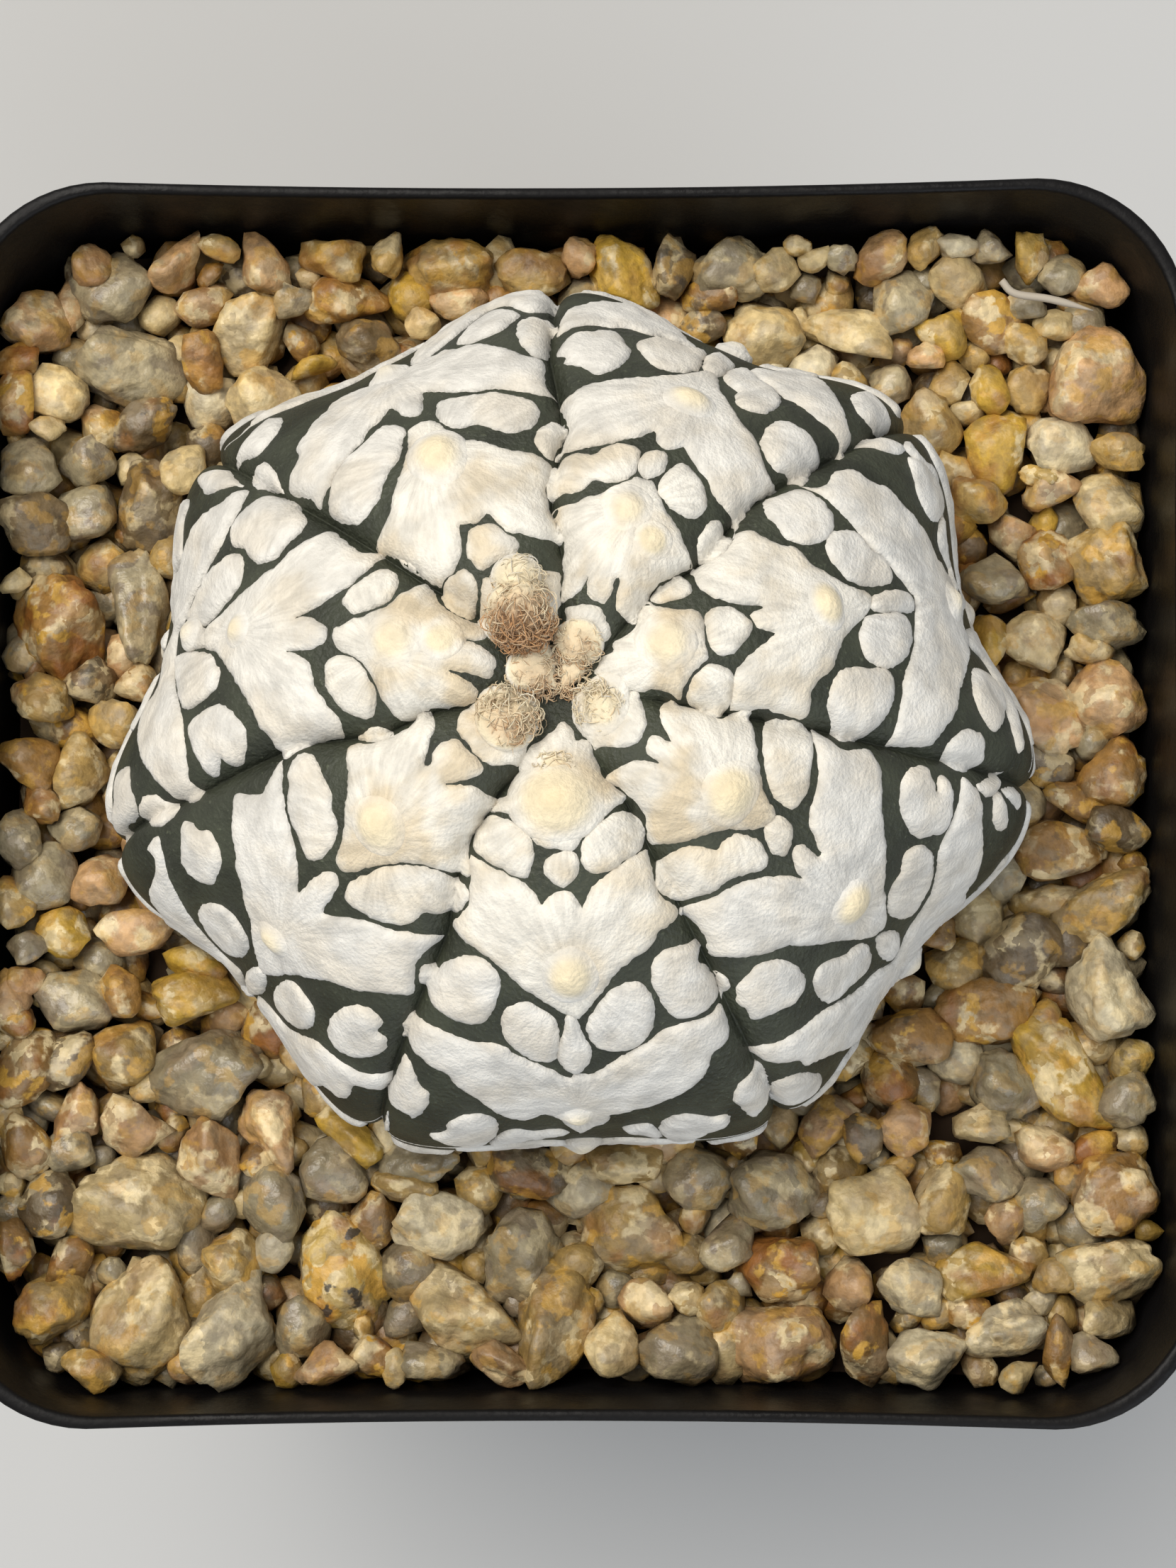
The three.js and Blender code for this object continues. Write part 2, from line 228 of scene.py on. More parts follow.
def skin_points(azimuth, arc, lift=0.0):
    """Points on the green skin, or a lift over it. The radius blends from a circle near the crown to an outline
    that is drawn in on the crests and full on the flanks. Puffed ribs and narrow creases are added along the
    meridian's normal, and the crown is sunk by a bell curve."""
    azimuth, arc = np.broadcast_arrays(np.asarray(azimuth, float), np.asarray(arc, float))
    share, level = np.interp(arc, ARCS, SHARES), np.interp(arc, ARCS, LEVELS)
    out, up = np.interp(arc, ARCS, SLOPE_OUT), np.interp(arc, ARCS, SLOPE_UP)
    length = np.hypot(out, up)
    rib, place = across_rib(azimuth, arc)
    side = np.abs(place)
    flank = np.where(place < 0, FLANK_RADII[rib], FLANK_RADII[(rib + 1) % 7])
    ribbing = smooth(arc, 10, 0.9 * DOME_ARC) * smooth(share, 0.1, 0.9)
    outline = mix(CREST_RADII[rib], flank, smooth(side, 0.1, 0.92))
    spread = share * mix(MEAN_RADIUS, outline, ribbing)
    reach = spread * math.pi / 7
    crease = CREASE_DEPTH * np.exp(-(1 - side) * reach / CREASE_WIDTH) * smooth(reach, 0.5, 4)
    puff = PUFF * (1 - ribbing) * (1 - side**2) * smooth(share, 0.05, 0.35)
    buried = smooth(arc, DOME_ARC + 9, DOME_ARC + 13)
    dip = CROWN_DIP * np.exp(-((spread / CROWN_DIP_RADIUS) ** 2)) * (arc < DOME_ARC)
    raised = (puff - crease) * (1 - buried) + lift
    away = spread + out / length * raised
    turn = np.radians(azimuth)
    return np.stack([
        PLANT_AXIS[0] + away * np.cos(turn),
        PLANT_AXIS[1] + away * np.sin(turn),
        EQUATOR_LEVEL + level + up / length * raised - dip,
    ], -1)


# From the photograph's pixels to the plant

CAMERA_AXES = np.array(Euler(CAMERA_TURN, "XYZ").to_matrix())


def to_pixels(points):
    """Where points in millimetres appear in the photograph."""
    seen = (points - CAMERA_PLACE) @ CAMERA_AXES
    return np.stack([
        PHOTO_SIZE[0] / 2 - FOCAL_PIXELS * seen[..., 0] / seen[..., 2],
        PHOTO_SIZE[1] / 2 + FOCAL_PIXELS * seen[..., 1] / seen[..., 2],
    ], -1)


def at_level(pixels, level):
    """The point of a level plane that a pixel shows."""
    pixels = np.asarray(pixels, float)
    ray = np.stack([
        pixels[..., 0] - PHOTO_SIZE[0] / 2,
        PHOTO_SIZE[1] / 2 - pixels[..., 1],
        np.full(pixels.shape[:-1], -FOCAL_PIXELS),
    ], -1) @ CAMERA_AXES.T
    along = (level - CAMERA_PLACE[2]) / ray[..., 2]
    return CAMERA_PLACE + ray * along[..., None]


# Arc length of the skin at the plant's visible edge
LIMB_ARC = 42.0


def on_plant(pixels):
    """Azimuth and arc of the skin that each pixel shows, by damped Newton steps from a first guess on a level
    plane. A pixel beyond the plant's edge comes to the nearest point of that edge."""
    pixels = np.asarray(pixels, float)
    flat = at_level(pixels, EQUATOR_LEVEL + 12)[:, :2] - PLANT_AXIS
    azimuth = np.degrees(np.arctan2(flat[:, 1], flat[:, 0]))
    arc = np.clip(np.hypot(flat[:, 0], flat[:, 1]) * 1.12, 0.5, LIMB_ARC - 6)
    for _ in range(30):
        here = to_pixels(skin_points(azimuth, arc, 0.3))
        by_turn = (to_pixels(skin_points(azimuth + 0.2, arc, 0.3)) - here) / 0.2
        by_arc = (to_pixels(skin_points(azimuth, arc + 0.1, 0.3)) - here) / 0.1
        miss = pixels - here
        a, b, d = (by_turn**2).sum(1) + 1e-3, (by_turn * by_arc).sum(1), (by_arc**2).sum(1) + 4.0
        p, q = (by_turn * miss).sum(1), (by_arc * miss).sum(1)
        det = a * d - b * b
        azimuth = azimuth + np.clip((d * p - b * q) / det, -6, 6)
        arc = np.clip(arc + np.clip((a * q - b * p) / det, -2, 2), 0.3, LIMB_ARC)
    return azimuth, arc


# The felt flecks

# Outlines of the flecks that the photograph shows, as x,y pixels read round each one, rib by rib.
FLECKS = {
"near": [
    [733,1084, 738,1066, 750,1052, 765,1042, 780,1030, 795,1018, 808,1028, 813,1045, 825,1042, 835,1050,
     840,1066, 846,1082, 852,1096, 868,1110, 885,1127, 868,1140, 846,1158, 830,1172, 818,1190, 810,1200,
     790,1200, 768,1196, 752,1188, 745,1172, 730,1158, 712,1148, 690,1145, 701,1129, 716,1120, 722,1105,
     732,1096],
    [694,1151, 726,1162, 747,1184, 753,1207, 747,1232, 738,1241, 711,1230, 683,1214, 667,1198, 670,1176,
     681,1159],
    [879,1145, 901,1155, 911,1176, 908,1194, 883,1216, 861,1230, 836,1234, 822,1223, 820,1201, 826,1180,
     847,1159],
    [790,1203, 811,1203, 818,1219, 811,1241, 795,1253, 776,1244, 767,1228, 772,1210],
    [663,1207, 676,1216, 701,1228, 729,1242, 751,1259, 763,1280, 772,1267, 786,1259, 801,1259, 813,1269,
     821,1284, 826,1269, 840,1248, 861,1232, 886,1214, 911,1200, 919,1216, 926,1248, 933,1266, 958,1285,
     944,1309, 929,1317, 919,1337, 890,1359, 869,1376, 854,1398, 826,1430, 815,1441, 802,1436, 790,1430,
     765,1416, 733,1394, 711,1373, 683,1351, 654,1330, 638,1309, 642,1298, 658,1280, 663,1248, 660,1223],
    [597,1364, 617,1369, 626,1359, 651,1351, 672,1352, 694,1366, 704,1384, 702,1409, 690,1437, 672,1449,
     644,1444, 619,1430, 604,1412, 590,1387, 590,1373],
    [740,1416, 761,1425, 783,1441, 789,1466, 788,1487, 779,1501, 754,1501, 729,1487, 711,1469, 706,1444,
     715,1425],
    [804,1434, 815,1444, 822,1462, 835,1484, 831,1505, 815,1519, 801,1516, 786,1498, 786,1484, 795,1459,
     797,1441],
    [883,1389, 904,1389, 919,1405, 925,1426, 919,1459, 901,1480, 876,1487, 847,1484, 833,1469, 828,1448,
     840,1426, 861,1401],
    [979,1330, 992,1337, 986,1359, 1001,1366, 1015,1398, 1004,1423, 976,1439, 951,1437, 933,1416, 920,1387,
     922,1362, 940,1341],
    [1008,1373, 1019,1376, 1029,1384, 1031,1398, 1020,1412, 1015,1394],
    [583,1432, 597,1444, 629,1460, 665,1473, 701,1476, 726,1491, 754,1503, 783,1516, 804,1526, 811,1519,
     836,1519, 854,1509, 883,1491, 911,1476, 940,1455, 979,1444, 1004,1434, 1017,1419, 1029,1444, 1029,1469,
     1008,1491, 1001,1509, 994,1523, 969,1544, 926,1562, 883,1573, 863,1576, 858,1587, 836,1594, 819,1601,
     801,1594, 790,1584, 769,1576, 740,1584, 711,1580, 690,1569, 672,1555, 644,1537, 629,1519, 611,1512,
     594,1498, 576,1476, 569,1451],
    [569,1491, 579,1505, 590,1534, 604,1548, 601,1566, 583,1582, 569,1573, 547,1555, 544,1537, 554,1523,
     563,1501],
    [604,1605, 626,1601, 629,1591, 647,1580, 676,1576, 697,1584, 702,1598, 694,1612, 672,1621, 640,1619,
     615,1612],
    [690,1619, 704,1605, 726,1598, 754,1601, 790,1598, 801,1605, 754,1610, 719,1616],
    [879,1596, 901,1591, 922,1592, 936,1609, 911,1605, 890,1603],
    [931,1598, 940,1584, 969,1576, 1004,1580, 1029,1578, 1029,1591, 1004,1601, 969,1614, 944,1612],
    [1076,1505, 1085,1526, 1086,1541, 1076,1569, 1063,1580, 1047,1566, 1036,1555, 1044,1534, 1061,1519],
],
"right": [
    [915,847, 924,852, 940,855, 961,858, 983,859, 992,867, 995,882, 995,895, 1001,925, 989,938, 973,956,
     964,974, 960,988, 949,980, 937,974, 921,971, 906,976, 882,974, 869,980, 866,962, 839,950, 842,941,
     851,925, 866,918, 866,904, 885,895, 898,882, 901,867, 906,855],
    [996,873, 1004,858, 1019,854, 1038,856, 1053,867, 1065,879, 1059,895, 1047,910, 1032,922, 1016,924,
     1007,916, 1001,901],
    [970,987, 972,971, 980,956, 992,941, 1004,936, 1019,938, 1032,944, 1038,959, 1035,980, 1029,999,
     1019,1011, 1004,1013, 986,1002],
    [920,846, 924,833, 940,821, 961,809, 973,818, 978,830, 967,841, 946,847, 931,849],
    [976,806, 989,797, 1000,790, 1025,776, 1042,750, 1063,746, 1084,757, 1109,767, 1126,771, 1147,793,
     1168,805, 1189,818, 1210,828, 1229,835, 1236,847, 1229,860, 1219,872, 1202,889, 1189,910, 1183,927,
     1177,944, 1156,961, 1147,978, 1147,995, 1133,1016, 1114,1009, 1084,1001, 1055,1001, 1038,1003,
     1032,995, 1038,952, 1055,927, 1080,906, 1097,892, 1072,885, 1063,872, 1061,864, 1080,854, 1042,851,
     1021,845, 1004,840, 986,824],
    [1080,704, 1101,696, 1126,687, 1152,694, 1168,708, 1179,725, 1177,750, 1160,763, 1130,765, 1109,755,
     1099,740, 1086,729, 1080,717],
    [1168,767, 1173,750, 1194,745, 1215,750, 1231,771, 1253,788, 1263,809, 1257,822, 1231,826, 1206,820,
     1185,801, 1173,784],
    [1227,868, 1253,863, 1278,864, 1290,885, 1290,910, 1278,931, 1257,942, 1236,936, 1221,919, 1215,898,
     1219,881],
    [1189,944, 1210,940, 1236,942, 1257,944, 1265,961, 1265,986, 1253,1011, 1236,1030, 1210,1045, 1189,1045,
     1175,1028, 1170,995, 1175,969],
    [1231,843, 1248,833, 1269,830, 1286,835, 1295,851, 1290,862, 1261,862, 1236,860],
    [1147,685, 1168,681, 1181,662, 1210,660, 1231,675, 1257,685, 1274,704, 1290,721, 1303,738, 1316,763,
     1324,784, 1341,809, 1349,830, 1366,843, 1370,854, 1362,864, 1362,885, 1370,902, 1372,927, 1366,952,
     1358,978, 1354,1003, 1337,1028, 1324,1045, 1316,1053, 1290,1054, 1261,1054, 1253,1051, 1269,1020,
     1276,986, 1278,961, 1286,936, 1293,910, 1295,877, 1295,843, 1286,830, 1269,809, 1253,788, 1236,776,
     1219,755, 1198,729, 1177,708, 1150,690, 1130,683],
    [1284,643, 1295,645, 1316,662, 1332,687, 1337,721, 1324,734, 1311,721, 1299,696, 1293,670],
    [1330,731, 1341,729, 1347,771, 1347,809, 1337,788, 1328,763],
    [1377,944, 1391,944, 1408,961, 1421,986, 1421,1016, 1408,1032, 1396,1020, 1383,995, 1377,969],
    [1337,1058, 1349,1041, 1370,1028, 1391,1037, 1394,1062, 1379,1083, 1358,1089, 1332,1075],
    [1383,1108, 1400,1096, 1421,1089, 1417,1104, 1400,1125],
    [1285,620, 1302,640, 1322,662, 1340,700, 1352,780, 1354,830, 1348,832, 1345,780, 1334,705, 1316,668,
     1296,648, 1280,628],
    [1366,890, 1378,890, 1400,925, 1420,955, 1436,1000, 1448,1055, 1440,1058, 1427,1010, 1410,962, 1392,932,
     1374,912],
],
"right_far": [
    [779,721, 791,712, 812,707, 829,697, 843,695, 863,686, 884,676, 901,671, 922,678, 929,693, 936,707,
     943,722, 956,741, 967,765, 977,793, 978,800, 961,806, 940,818, 924,830, 915,847, 903,861, 898,879,
     885,875, 872,861, 869,849, 872,833, 875,821, 872,812, 866,821, 863,837, 854,849, 839,846, 828,833,
     830,815, 836,800, 826,818, 817,833, 802,843, 793,849, 791,843, 793,821, 794,791, 796,762, 788,741,
     779,727],
    [781,659, 794,645, 815,636, 839,637, 850,629, 870,622, 891,624, 905,634, 901,648, 898,662, 887,672,
     863,679, 839,674, 825,686, 808,693, 791,696, 774,703, 770,690, 774,672],
    [908,638, 922,631, 939,634, 944,647, 936,662, 925,671, 910,671, 901,659, 903,647],
    [943,662, 956,652, 967,651, 980,662, 991,676, 998,693, 998,710, 991,724, 980,729, 963,724, 946,712,
     932,696, 929,683, 934,671],
    [998,738, 1011,731, 1022,741, 1034,758, 1032,769, 1018,783, 1001,791, 989,795, 985,779, 986,760, 992,748],
    [791,569, 806,552, 829,538, 850,534, 881,529, 912,528, 939,525, 967,523, 994,519, 1013,528, 1018,545,
     1029,562, 1042,583, 1056,602, 1065,610, 1072,628, 1079,645, 1082,659, 1091,676, 1099,690, 1084,698,
     1070,705, 1058,717, 1049,731, 1041,748, 1035,760, 1037,752, 1035,734, 1025,717, 1011,700, 1001,679,
     998,672, 984,655, 972,638, 967,628, 960,628, 943,631, 929,621, 925,605, 920,607, 912,610, 898,614,
     881,616, 860,622, 829,628, 805,634, 794,638, 782,648, 788,638, 798,617, 803,603, 798,590, 791,578],
    [786,493, 794,480, 808,467, 829,464, 853,462, 874,467, 884,480, 891,493, 879,509, 863,519, 843,524,
     822,514, 796,509, 798,500, 786,499],
    [898,481, 912,473, 932,472, 953,480, 973,486, 998,493, 992,507, 987,517, 967,521, 946,519, 929,514,
     915,504, 905,493],
    [998,497, 1011,495, 1029,504, 1039,512, 1029,521, 1015,528, 1004,524, 994,517, 994,507],
    [1022,528, 1032,517, 1053,516, 1066,526, 1084,538, 1101,552, 1104,562, 1097,573, 1080,579, 1060,576,
     1042,566, 1039,555, 1042,548, 1029,538],
    [1084,600, 1097,591, 1115,591, 1128,597, 1146,610, 1156,628, 1159,645, 1156,659, 1146,665, 1142,676,
     1132,683, 1115,672, 1097,660, 1084,645, 1075,624, 1079,610],
    [788,459, 794,442, 805,431, 822,426, 846,421, 863,424, 891,426, 908,433, 922,442, 943,452, 960,464,
     977,481, 998,493, 980,486, 956,478, 939,471, 915,467, 891,459, 863,457, 839,454, 815,455, 798,462,
     786,471],
    [1063,517, 1091,521, 1122,523, 1146,528, 1163,535, 1180,552, 1190,569, 1197,586, 1201,603, 1202,624,
     1190,645, 1187,631, 1184,614, 1173,600, 1159,590, 1142,576, 1125,564, 1106,555, 1087,538, 1068,526],
    [1204,555, 1218,549, 1232,554, 1246,566, 1256,583, 1259,600, 1252,610, 1239,614, 1232,600, 1218,583,
     1208,569],
    [1211,624, 1232,617, 1252,616, 1273,624, 1283,631, 1270,638, 1252,633, 1232,628],
],
"far": [
    [574,604, 585,596, 602,589, 615,592, 628,602, 652,616, 672,617, 691,622, 711,629, 738,634, 754,637,
     768,645, 779,657, 774,672, 769,689, 774,708, 779,725, 788,742, 796,760, 778,761, 751,755, 735,750,
     718,748, 701,735, 688,722, 678,728, 668,737, 648,737, 648,755, 650,775, 648,788, 638,805, 625,818,
     620,828, 612,824, 602,818, 592,810, 572,791, 552,783, 531,778, 531,758, 539,742, 546,725, 549,708,
     555,685, 565,659, 572,635, 575,619],
    [657,761, 662,745, 678,737, 695,737, 708,745, 725,755, 731,768, 725,781, 708,785, 688,798, 678,803,
     668,795, 658,781],
    [621,840, 624,824, 637,809, 652,800, 661,806, 672,821, 673,840, 670,858, 664,873, 646,867, 631,858],
    [466,672, 476,655, 489,640, 502,629, 516,616, 532,601, 549,596, 565,598, 570,607, 565,622, 562,642,
     549,659, 539,679, 532,702, 522,715, 509,732, 496,738, 479,735, 466,728, 461,715, 463,692],
    [614,572, 619,562, 638,557, 658,554, 678,551, 698,549, 718,553, 738,557, 758,569, 761,582, 754,596,
     738,604, 721,607, 701,604, 682,597, 665,596, 645,601, 628,596, 615,586],
    [754,616, 761,601, 781,592, 794,597, 801,609, 794,622, 784,635, 781,647, 771,642, 758,629],
    [522,523, 532,513, 546,508, 555,513, 565,519, 579,514, 595,506, 612,498, 628,489, 643,489, 658,485,
     678,481, 698,484, 718,488, 741,498, 764,504, 769,513, 769,529, 771,543, 781,556, 788,566, 778,557,
     761,553, 735,548, 718,546, 695,544, 672,548, 652,549, 625,549, 597,549, 595,559, 594,576, 582,584,
     565,582, 559,576, 549,572, 542,579, 532,592, 519,602, 509,619, 502,627, 489,640, 479,652, 469,669,
     461,685, 453,702, 449,717, 436,702, 419,698, 406,692, 405,675, 410,659, 418,642, 415,627, 426,612,
     439,594, 456,579, 463,569, 479,559, 499,549, 516,543, 526,539],
    [643,480, 652,466, 665,453, 685,440, 705,433, 725,435, 733,440, 721,450, 708,461, 685,471, 662,480],
    [728,461, 731,450, 748,444, 764,446, 778,453, 788,461, 778,473, 776,490, 771,503, 754,499, 738,486,
     730,473],
    [330,655, 333,639, 343,619, 360,602, 376,589, 391,585, 395,592, 386,609, 373,625, 360,639, 343,645,
     333,659],
    [355,675, 356,662, 368,649, 380,655, 388,669, 393,685, 396,692, 370,688, 358,687],
    [579,502, 620,466, 680,430, 715,416, 784,430, 780,440, 745,436, 712,426, 684,436, 640,470, 590,507],
],
"left": [
    [467,895, 469,884, 480,880, 495,871, 514,866, 532,858, 547,851, 558,840, 577,829, 599,821, 614,840,
     625,855, 643,866, 665,877, 684,884, 684,901, 655,901, 670,907, 689,919, 698,931, 695,950, 689,956,
     673,953, 631,944, 646,953, 664,965, 673,974, 672,983, 667,991, 649,996, 631,999, 609,999, 595,1006,
     580,1017, 565,1017, 554,1010, 543,995, 534,980, 528,966, 517,947, 503,929, 484,921, 473,914, 467,903],
    [288,882, 294,877, 310,862, 325,847, 340,832, 358,818, 369,806, 388,795, 399,781, 414,769, 432,758,
     447,751, 467,747, 477,755, 495,769, 510,777, 530,779, 540,782, 528,792, 510,808, 495,821, 480,832,
     462,843, 447,853, 432,862, 412,871, 432,868, 447,877, 458,886, 456,903, 447,910, 429,916, 399,918,
     417,923, 432,932, 436,947, 443,969, 454,988, 466,1003, 477,1014, 480,1028, 484,1041, 473,1043,
     454,1047, 436,1052, 421,1058, 399,1071, 388,1058, 377,1040, 362,1025, 353,1003, 342,984, 332,969,
     323,951, 310,932, 299,918, 284,912],
    [321,751, 325,736, 336,721, 351,707, 369,697, 392,699, 410,705, 419,710, 421,720, 430,729, 425,744,
     414,755, 399,769, 388,784, 369,792, 358,792, 347,781, 340,771, 325,769],
    [258,869, 266,855, 277,829, 288,806, 303,792, 318,781, 329,777, 338,784, 340,799, 336,818, 329,832,
     314,851, 299,869, 284,882, 266,879],
    [244,929, 255,919, 277,918, 292,921, 299,932, 306,947, 303,966, 292,980, 277,991, 258,1001, 247,984,
     244,958],
    [260,1028, 266,1017, 277,1006, 292,997, 303,994, 318,999, 332,1014, 343,1032, 343,1051, 342,1069,
     336,1080, 323,1080, 306,1069, 308,1078, 301,1097, 292,1095, 277,1077, 266,1054],
    [480,847, 484,836, 495,825, 510,814, 528,803, 543,801, 558,808, 560,825, 551,840, 540,851, 521,858,
     499,864, 486,858],
    [454,947, 458,932, 473,924, 491,925, 506,936, 517,954, 527,973, 528,995, 523,1010, 506,1012, 484,1003,
     469,988, 458,969],
    [503,1043, 510,1032, 525,1025, 540,1027, 554,1038, 540,1045, 521,1047],
    [559,785, 575,790, 590,800, 599,815, 583,808, 568,798],
    [255,890, 268,882, 286,885, 289,898, 286,911, 268,914, 255,905],
    [347,690, 325,692, 314,703, 295,714, 281,725, 269,740, 262,758, 255,777, 251,799, 242,818, 240,847,
     240,869, 240,895, 229,921, 227,936, 221,966, 207,991, 195,1017, 190,1040, 192,1058, 199,1080, 212,1098,
     233,1119, 249,1129, 270,1133, 279,1127, 266,1106, 258,1073, 255,1032, 251,1010, 247,988, 242,966,
     242,936, 244,914, 247,892, 255,877, 266,847, 277,825, 288,803, 303,777, 314,755, 325,732, 336,714],
    [275,677, 284,666, 303,660, 321,662, 329,673, 340,683, 325,683, 306,688, 288,695, 281,688],
    [236,725, 247,707, 260,701, 262,710, 255,732, 253,762, 251,788, 244,806, 232,810, 231,781, 232,751],
    [158,1127, 162,1094, 171,1083, 177,1083, 179,1110, 187,1135, 189,1156, 175,1168, 169,1189, 158,1185,
     156,1156],
    [194,1131, 200,1123, 216,1123, 233,1133, 249,1141, 233,1160, 216,1168, 200,1156, 191,1143],
],
"left_near": [
    [651,1002, 661,996, 677,987, 701,977, 740,985, 760,1020, 745,1050, 733,1081, 719,1078, 692,1080,
     670,1066, 661,1051, 646,1036, 644,1020],
    [488,1056, 486,1073, 488,1098, 486,1127, 484,1148, 482,1168, 478,1193, 471,1214, 478,1228, 494,1233,
     511,1228, 536,1222, 560,1218, 585,1220, 610,1224, 635,1233, 662,1239, 662,1222, 660,1201, 664,1185,
     677,1164, 689,1148, 701,1131, 689,1123, 668,1110, 648,1108, 625,1107, 648,1102, 668,1097, 681,1088,
     679,1079, 670,1068, 660,1058, 643,1044, 625,1047, 610,1060, 606,1079, 596,1079, 598,1069, 606,1044,
     612,1023, 610,1007, 600,1002, 585,1013, 573,1027, 556,1036, 536,1044, 515,1050, 498,1050],
    [403,1110, 401,1094, 407,1077, 419,1065, 436,1063, 444,1077, 455,1098, 465,1119, 465,1143, 473,1164,
     469,1189, 457,1206, 444,1216, 432,1214, 424,1201, 417,1181, 405,1156, 401,1135],
    [484,1264, 490,1247, 511,1237, 536,1226, 565,1222, 589,1223, 618,1230, 639,1239, 658,1255, 660,1272,
     643,1289, 618,1291, 598,1289, 581,1303, 560,1307, 531,1301, 507,1289, 488,1276],
    [395,1073, 382,1090, 366,1119, 349,1121, 328,1121, 324,1148, 322,1172, 328,1206, 328,1226, 337,1255,
     341,1280, 349,1301, 351,1322, 357,1347, 361,1363, 370,1376, 382,1380, 407,1378, 440,1384, 465,1388,
     490,1398, 523,1403, 556,1405, 581,1405, 583,1376, 587,1359, 602,1342, 618,1330, 627,1320, 606,1322,
     577,1318, 548,1313, 523,1305, 502,1299, 478,1295, 453,1291, 459,1276, 471,1259, 475,1243, 465,1230,
     449,1235, 432,1247, 417,1262, 417,1239, 415,1214, 411,1189, 403,1160, 397,1131, 395,1098],
    [250,1197, 250,1177, 254,1160, 264,1160, 276,1172, 291,1174, 301,1189, 308,1214, 303,1235, 295,1249,
     279,1247, 262,1235, 252,1218],
    [276,1297, 279,1280, 295,1276, 312,1282, 328,1297, 341,1318, 347,1338, 339,1353, 324,1351, 308,1338,
     291,1320],
    [384,1417, 384,1400, 399,1386, 415,1392, 428,1409, 440,1429, 438,1450, 424,1456, 407,1446, 395,1434],
    [459,1458, 465,1438, 482,1425, 502,1421, 523,1429, 538,1446, 529,1458, 542,1467, 542,1483, 523,1494,
     502,1496, 482,1490, 465,1475],
    [567,1450, 573,1438, 583,1429, 583,1450, 577,1463, 569,1465],
    [343,1376, 357,1367, 370,1376, 372,1392, 366,1405, 353,1405, 345,1392],
    [204,1197, 218,1181, 225,1206, 233,1239, 249,1272, 270,1305, 295,1334, 316,1355, 337,1376, 341,1396,
     316,1384, 287,1359, 258,1334, 233,1305, 216,1280, 206,1264, 212,1239, 214,1214],
    [361,1409, 378,1425, 399,1450, 419,1463, 440,1471, 461,1488, 482,1504, 507,1517, 536,1519, 552,1521,
     544,1537, 523,1541, 498,1535, 490,1550, 478,1552, 457,1537, 436,1537, 424,1525, 411,1500, 395,1467,
     378,1442, 361,1421],
    [480,1585, 500,1590, 530,1592, 545,1572, 546,1600, 520,1605, 490,1600],
],
"right_near": [
    [877,974, 894,974, 903,980, 909,999, 914,1017, 909,1032, 903,1045, 888,1054, 872,1055, 857,1052,
     845,1055, 839,1060, 833,1048, 820,1035, 806,1010, 820,975, 850,962],
    [854,1100, 867,1088, 883,1078, 903,1072, 932,1078, 918,1068, 912,1058, 914,1045, 928,1037, 948,1047,
     940,1029, 932,1013, 934,996, 948,988, 965,996, 993,1002, 1014,1013, 1026,1011, 1042,1004, 1063,1002,
     1063,1021, 1067,1041, 1071,1062, 1075,1086, 1079,1111, 1087,1131, 1095,1143, 1095,1156, 1079,1168,
     1059,1172, 1026,1171, 1006,1176, 985,1182, 961,1190, 936,1192, 918,1192, 914,1176, 912,1156, 903,1139,
     887,1123, 871,1111],
    [1079,1041, 1079,1025, 1091,1015, 1112,1015, 1132,1019, 1146,1033, 1150,1058, 1148,1082, 1144,1111,
     1134,1131, 1120,1143, 1103,1133, 1091,1119, 1083,1094, 1079,1066],
    [926,1225, 936,1213, 957,1200, 985,1194, 1014,1200, 1022,1188, 1038,1179, 1059,1180, 1075,1190,
     1085,1209, 1083,1225, 1059,1235, 1038,1239, 1022,1249, 1006,1262, 981,1268, 957,1271, 936,1264,
     926,1249],
    [1081,1172, 1087,1158, 1103,1151, 1116,1160, 1122,1176, 1118,1196, 1108,1209, 1091,1204, 1083,1188],
    [1148,1029, 1165,1039, 1181,1049, 1197,1058, 1218,1056, 1230,1058, 1238,1070, 1246,1086, 1248,1111,
     1248,1143, 1252,1172, 1254,1200, 1254,1225, 1252,1249, 1254,1274, 1254,1302, 1242,1319, 1226,1327,
     1197,1329, 1173,1333, 1148,1337, 1116,1337, 1091,1345, 1059,1353, 1026,1353, 1003,1349, 999,1331,
     993,1319, 981,1304, 961,1292, 963,1282, 981,1276, 1001,1270, 1026,1258, 1046,1247, 1071,1241,
     1095,1237, 1116,1237, 1134,1241, 1126,1229, 1121,1213, 1124,1196, 1136,1192, 1148,1202, 1157,1211,
     1163,1204, 1157,1198, 1152,1180, 1144,1164, 1146,1143, 1152,1123, 1157,1102, 1157,1074, 1152,1049],
    [1273,1131, 1275,1107, 1283,1090, 1299,1080, 1314,1084, 1320,1098, 1326,1119, 1328,1098, 1336,1094,
     1346,1107, 1350,1131, 1346,1156, 1336,1176, 1320,1180, 1299,1184, 1283,1168, 1275,1147],
    [1257,1274, 1261,1253, 1275,1233, 1277,1213, 1291,1196, 1308,1194, 1320,1207, 1322,1229, 1318,1249,
     1308,1266, 1297,1286, 1283,1298, 1267,1298, 1257,1290],
    [1040,1400, 1046,1388, 1063,1372, 1079,1360, 1099,1356, 1120,1362, 1136,1376, 1140,1392, 1132,1409,
     1120,1421, 1099,1431, 1075,1441, 1063,1441, 1054,1427, 1042,1417],
    [1150,1388, 1157,1368, 1177,1356, 1197,1349, 1206,1339, 1222,1333, 1232,1343, 1232,1360, 1222,1376,
     1206,1392, 1189,1409, 1173,1419, 1157,1409],
    [1242,1323, 1259,1315, 1273,1321, 1271,1339, 1259,1358, 1246,1353, 1240,1335],
    [1361,1098, 1377,1107, 1389,1127, 1391,1164, 1391,1196, 1385,1229, 1369,1258, 1365,1282, 1352,1298,
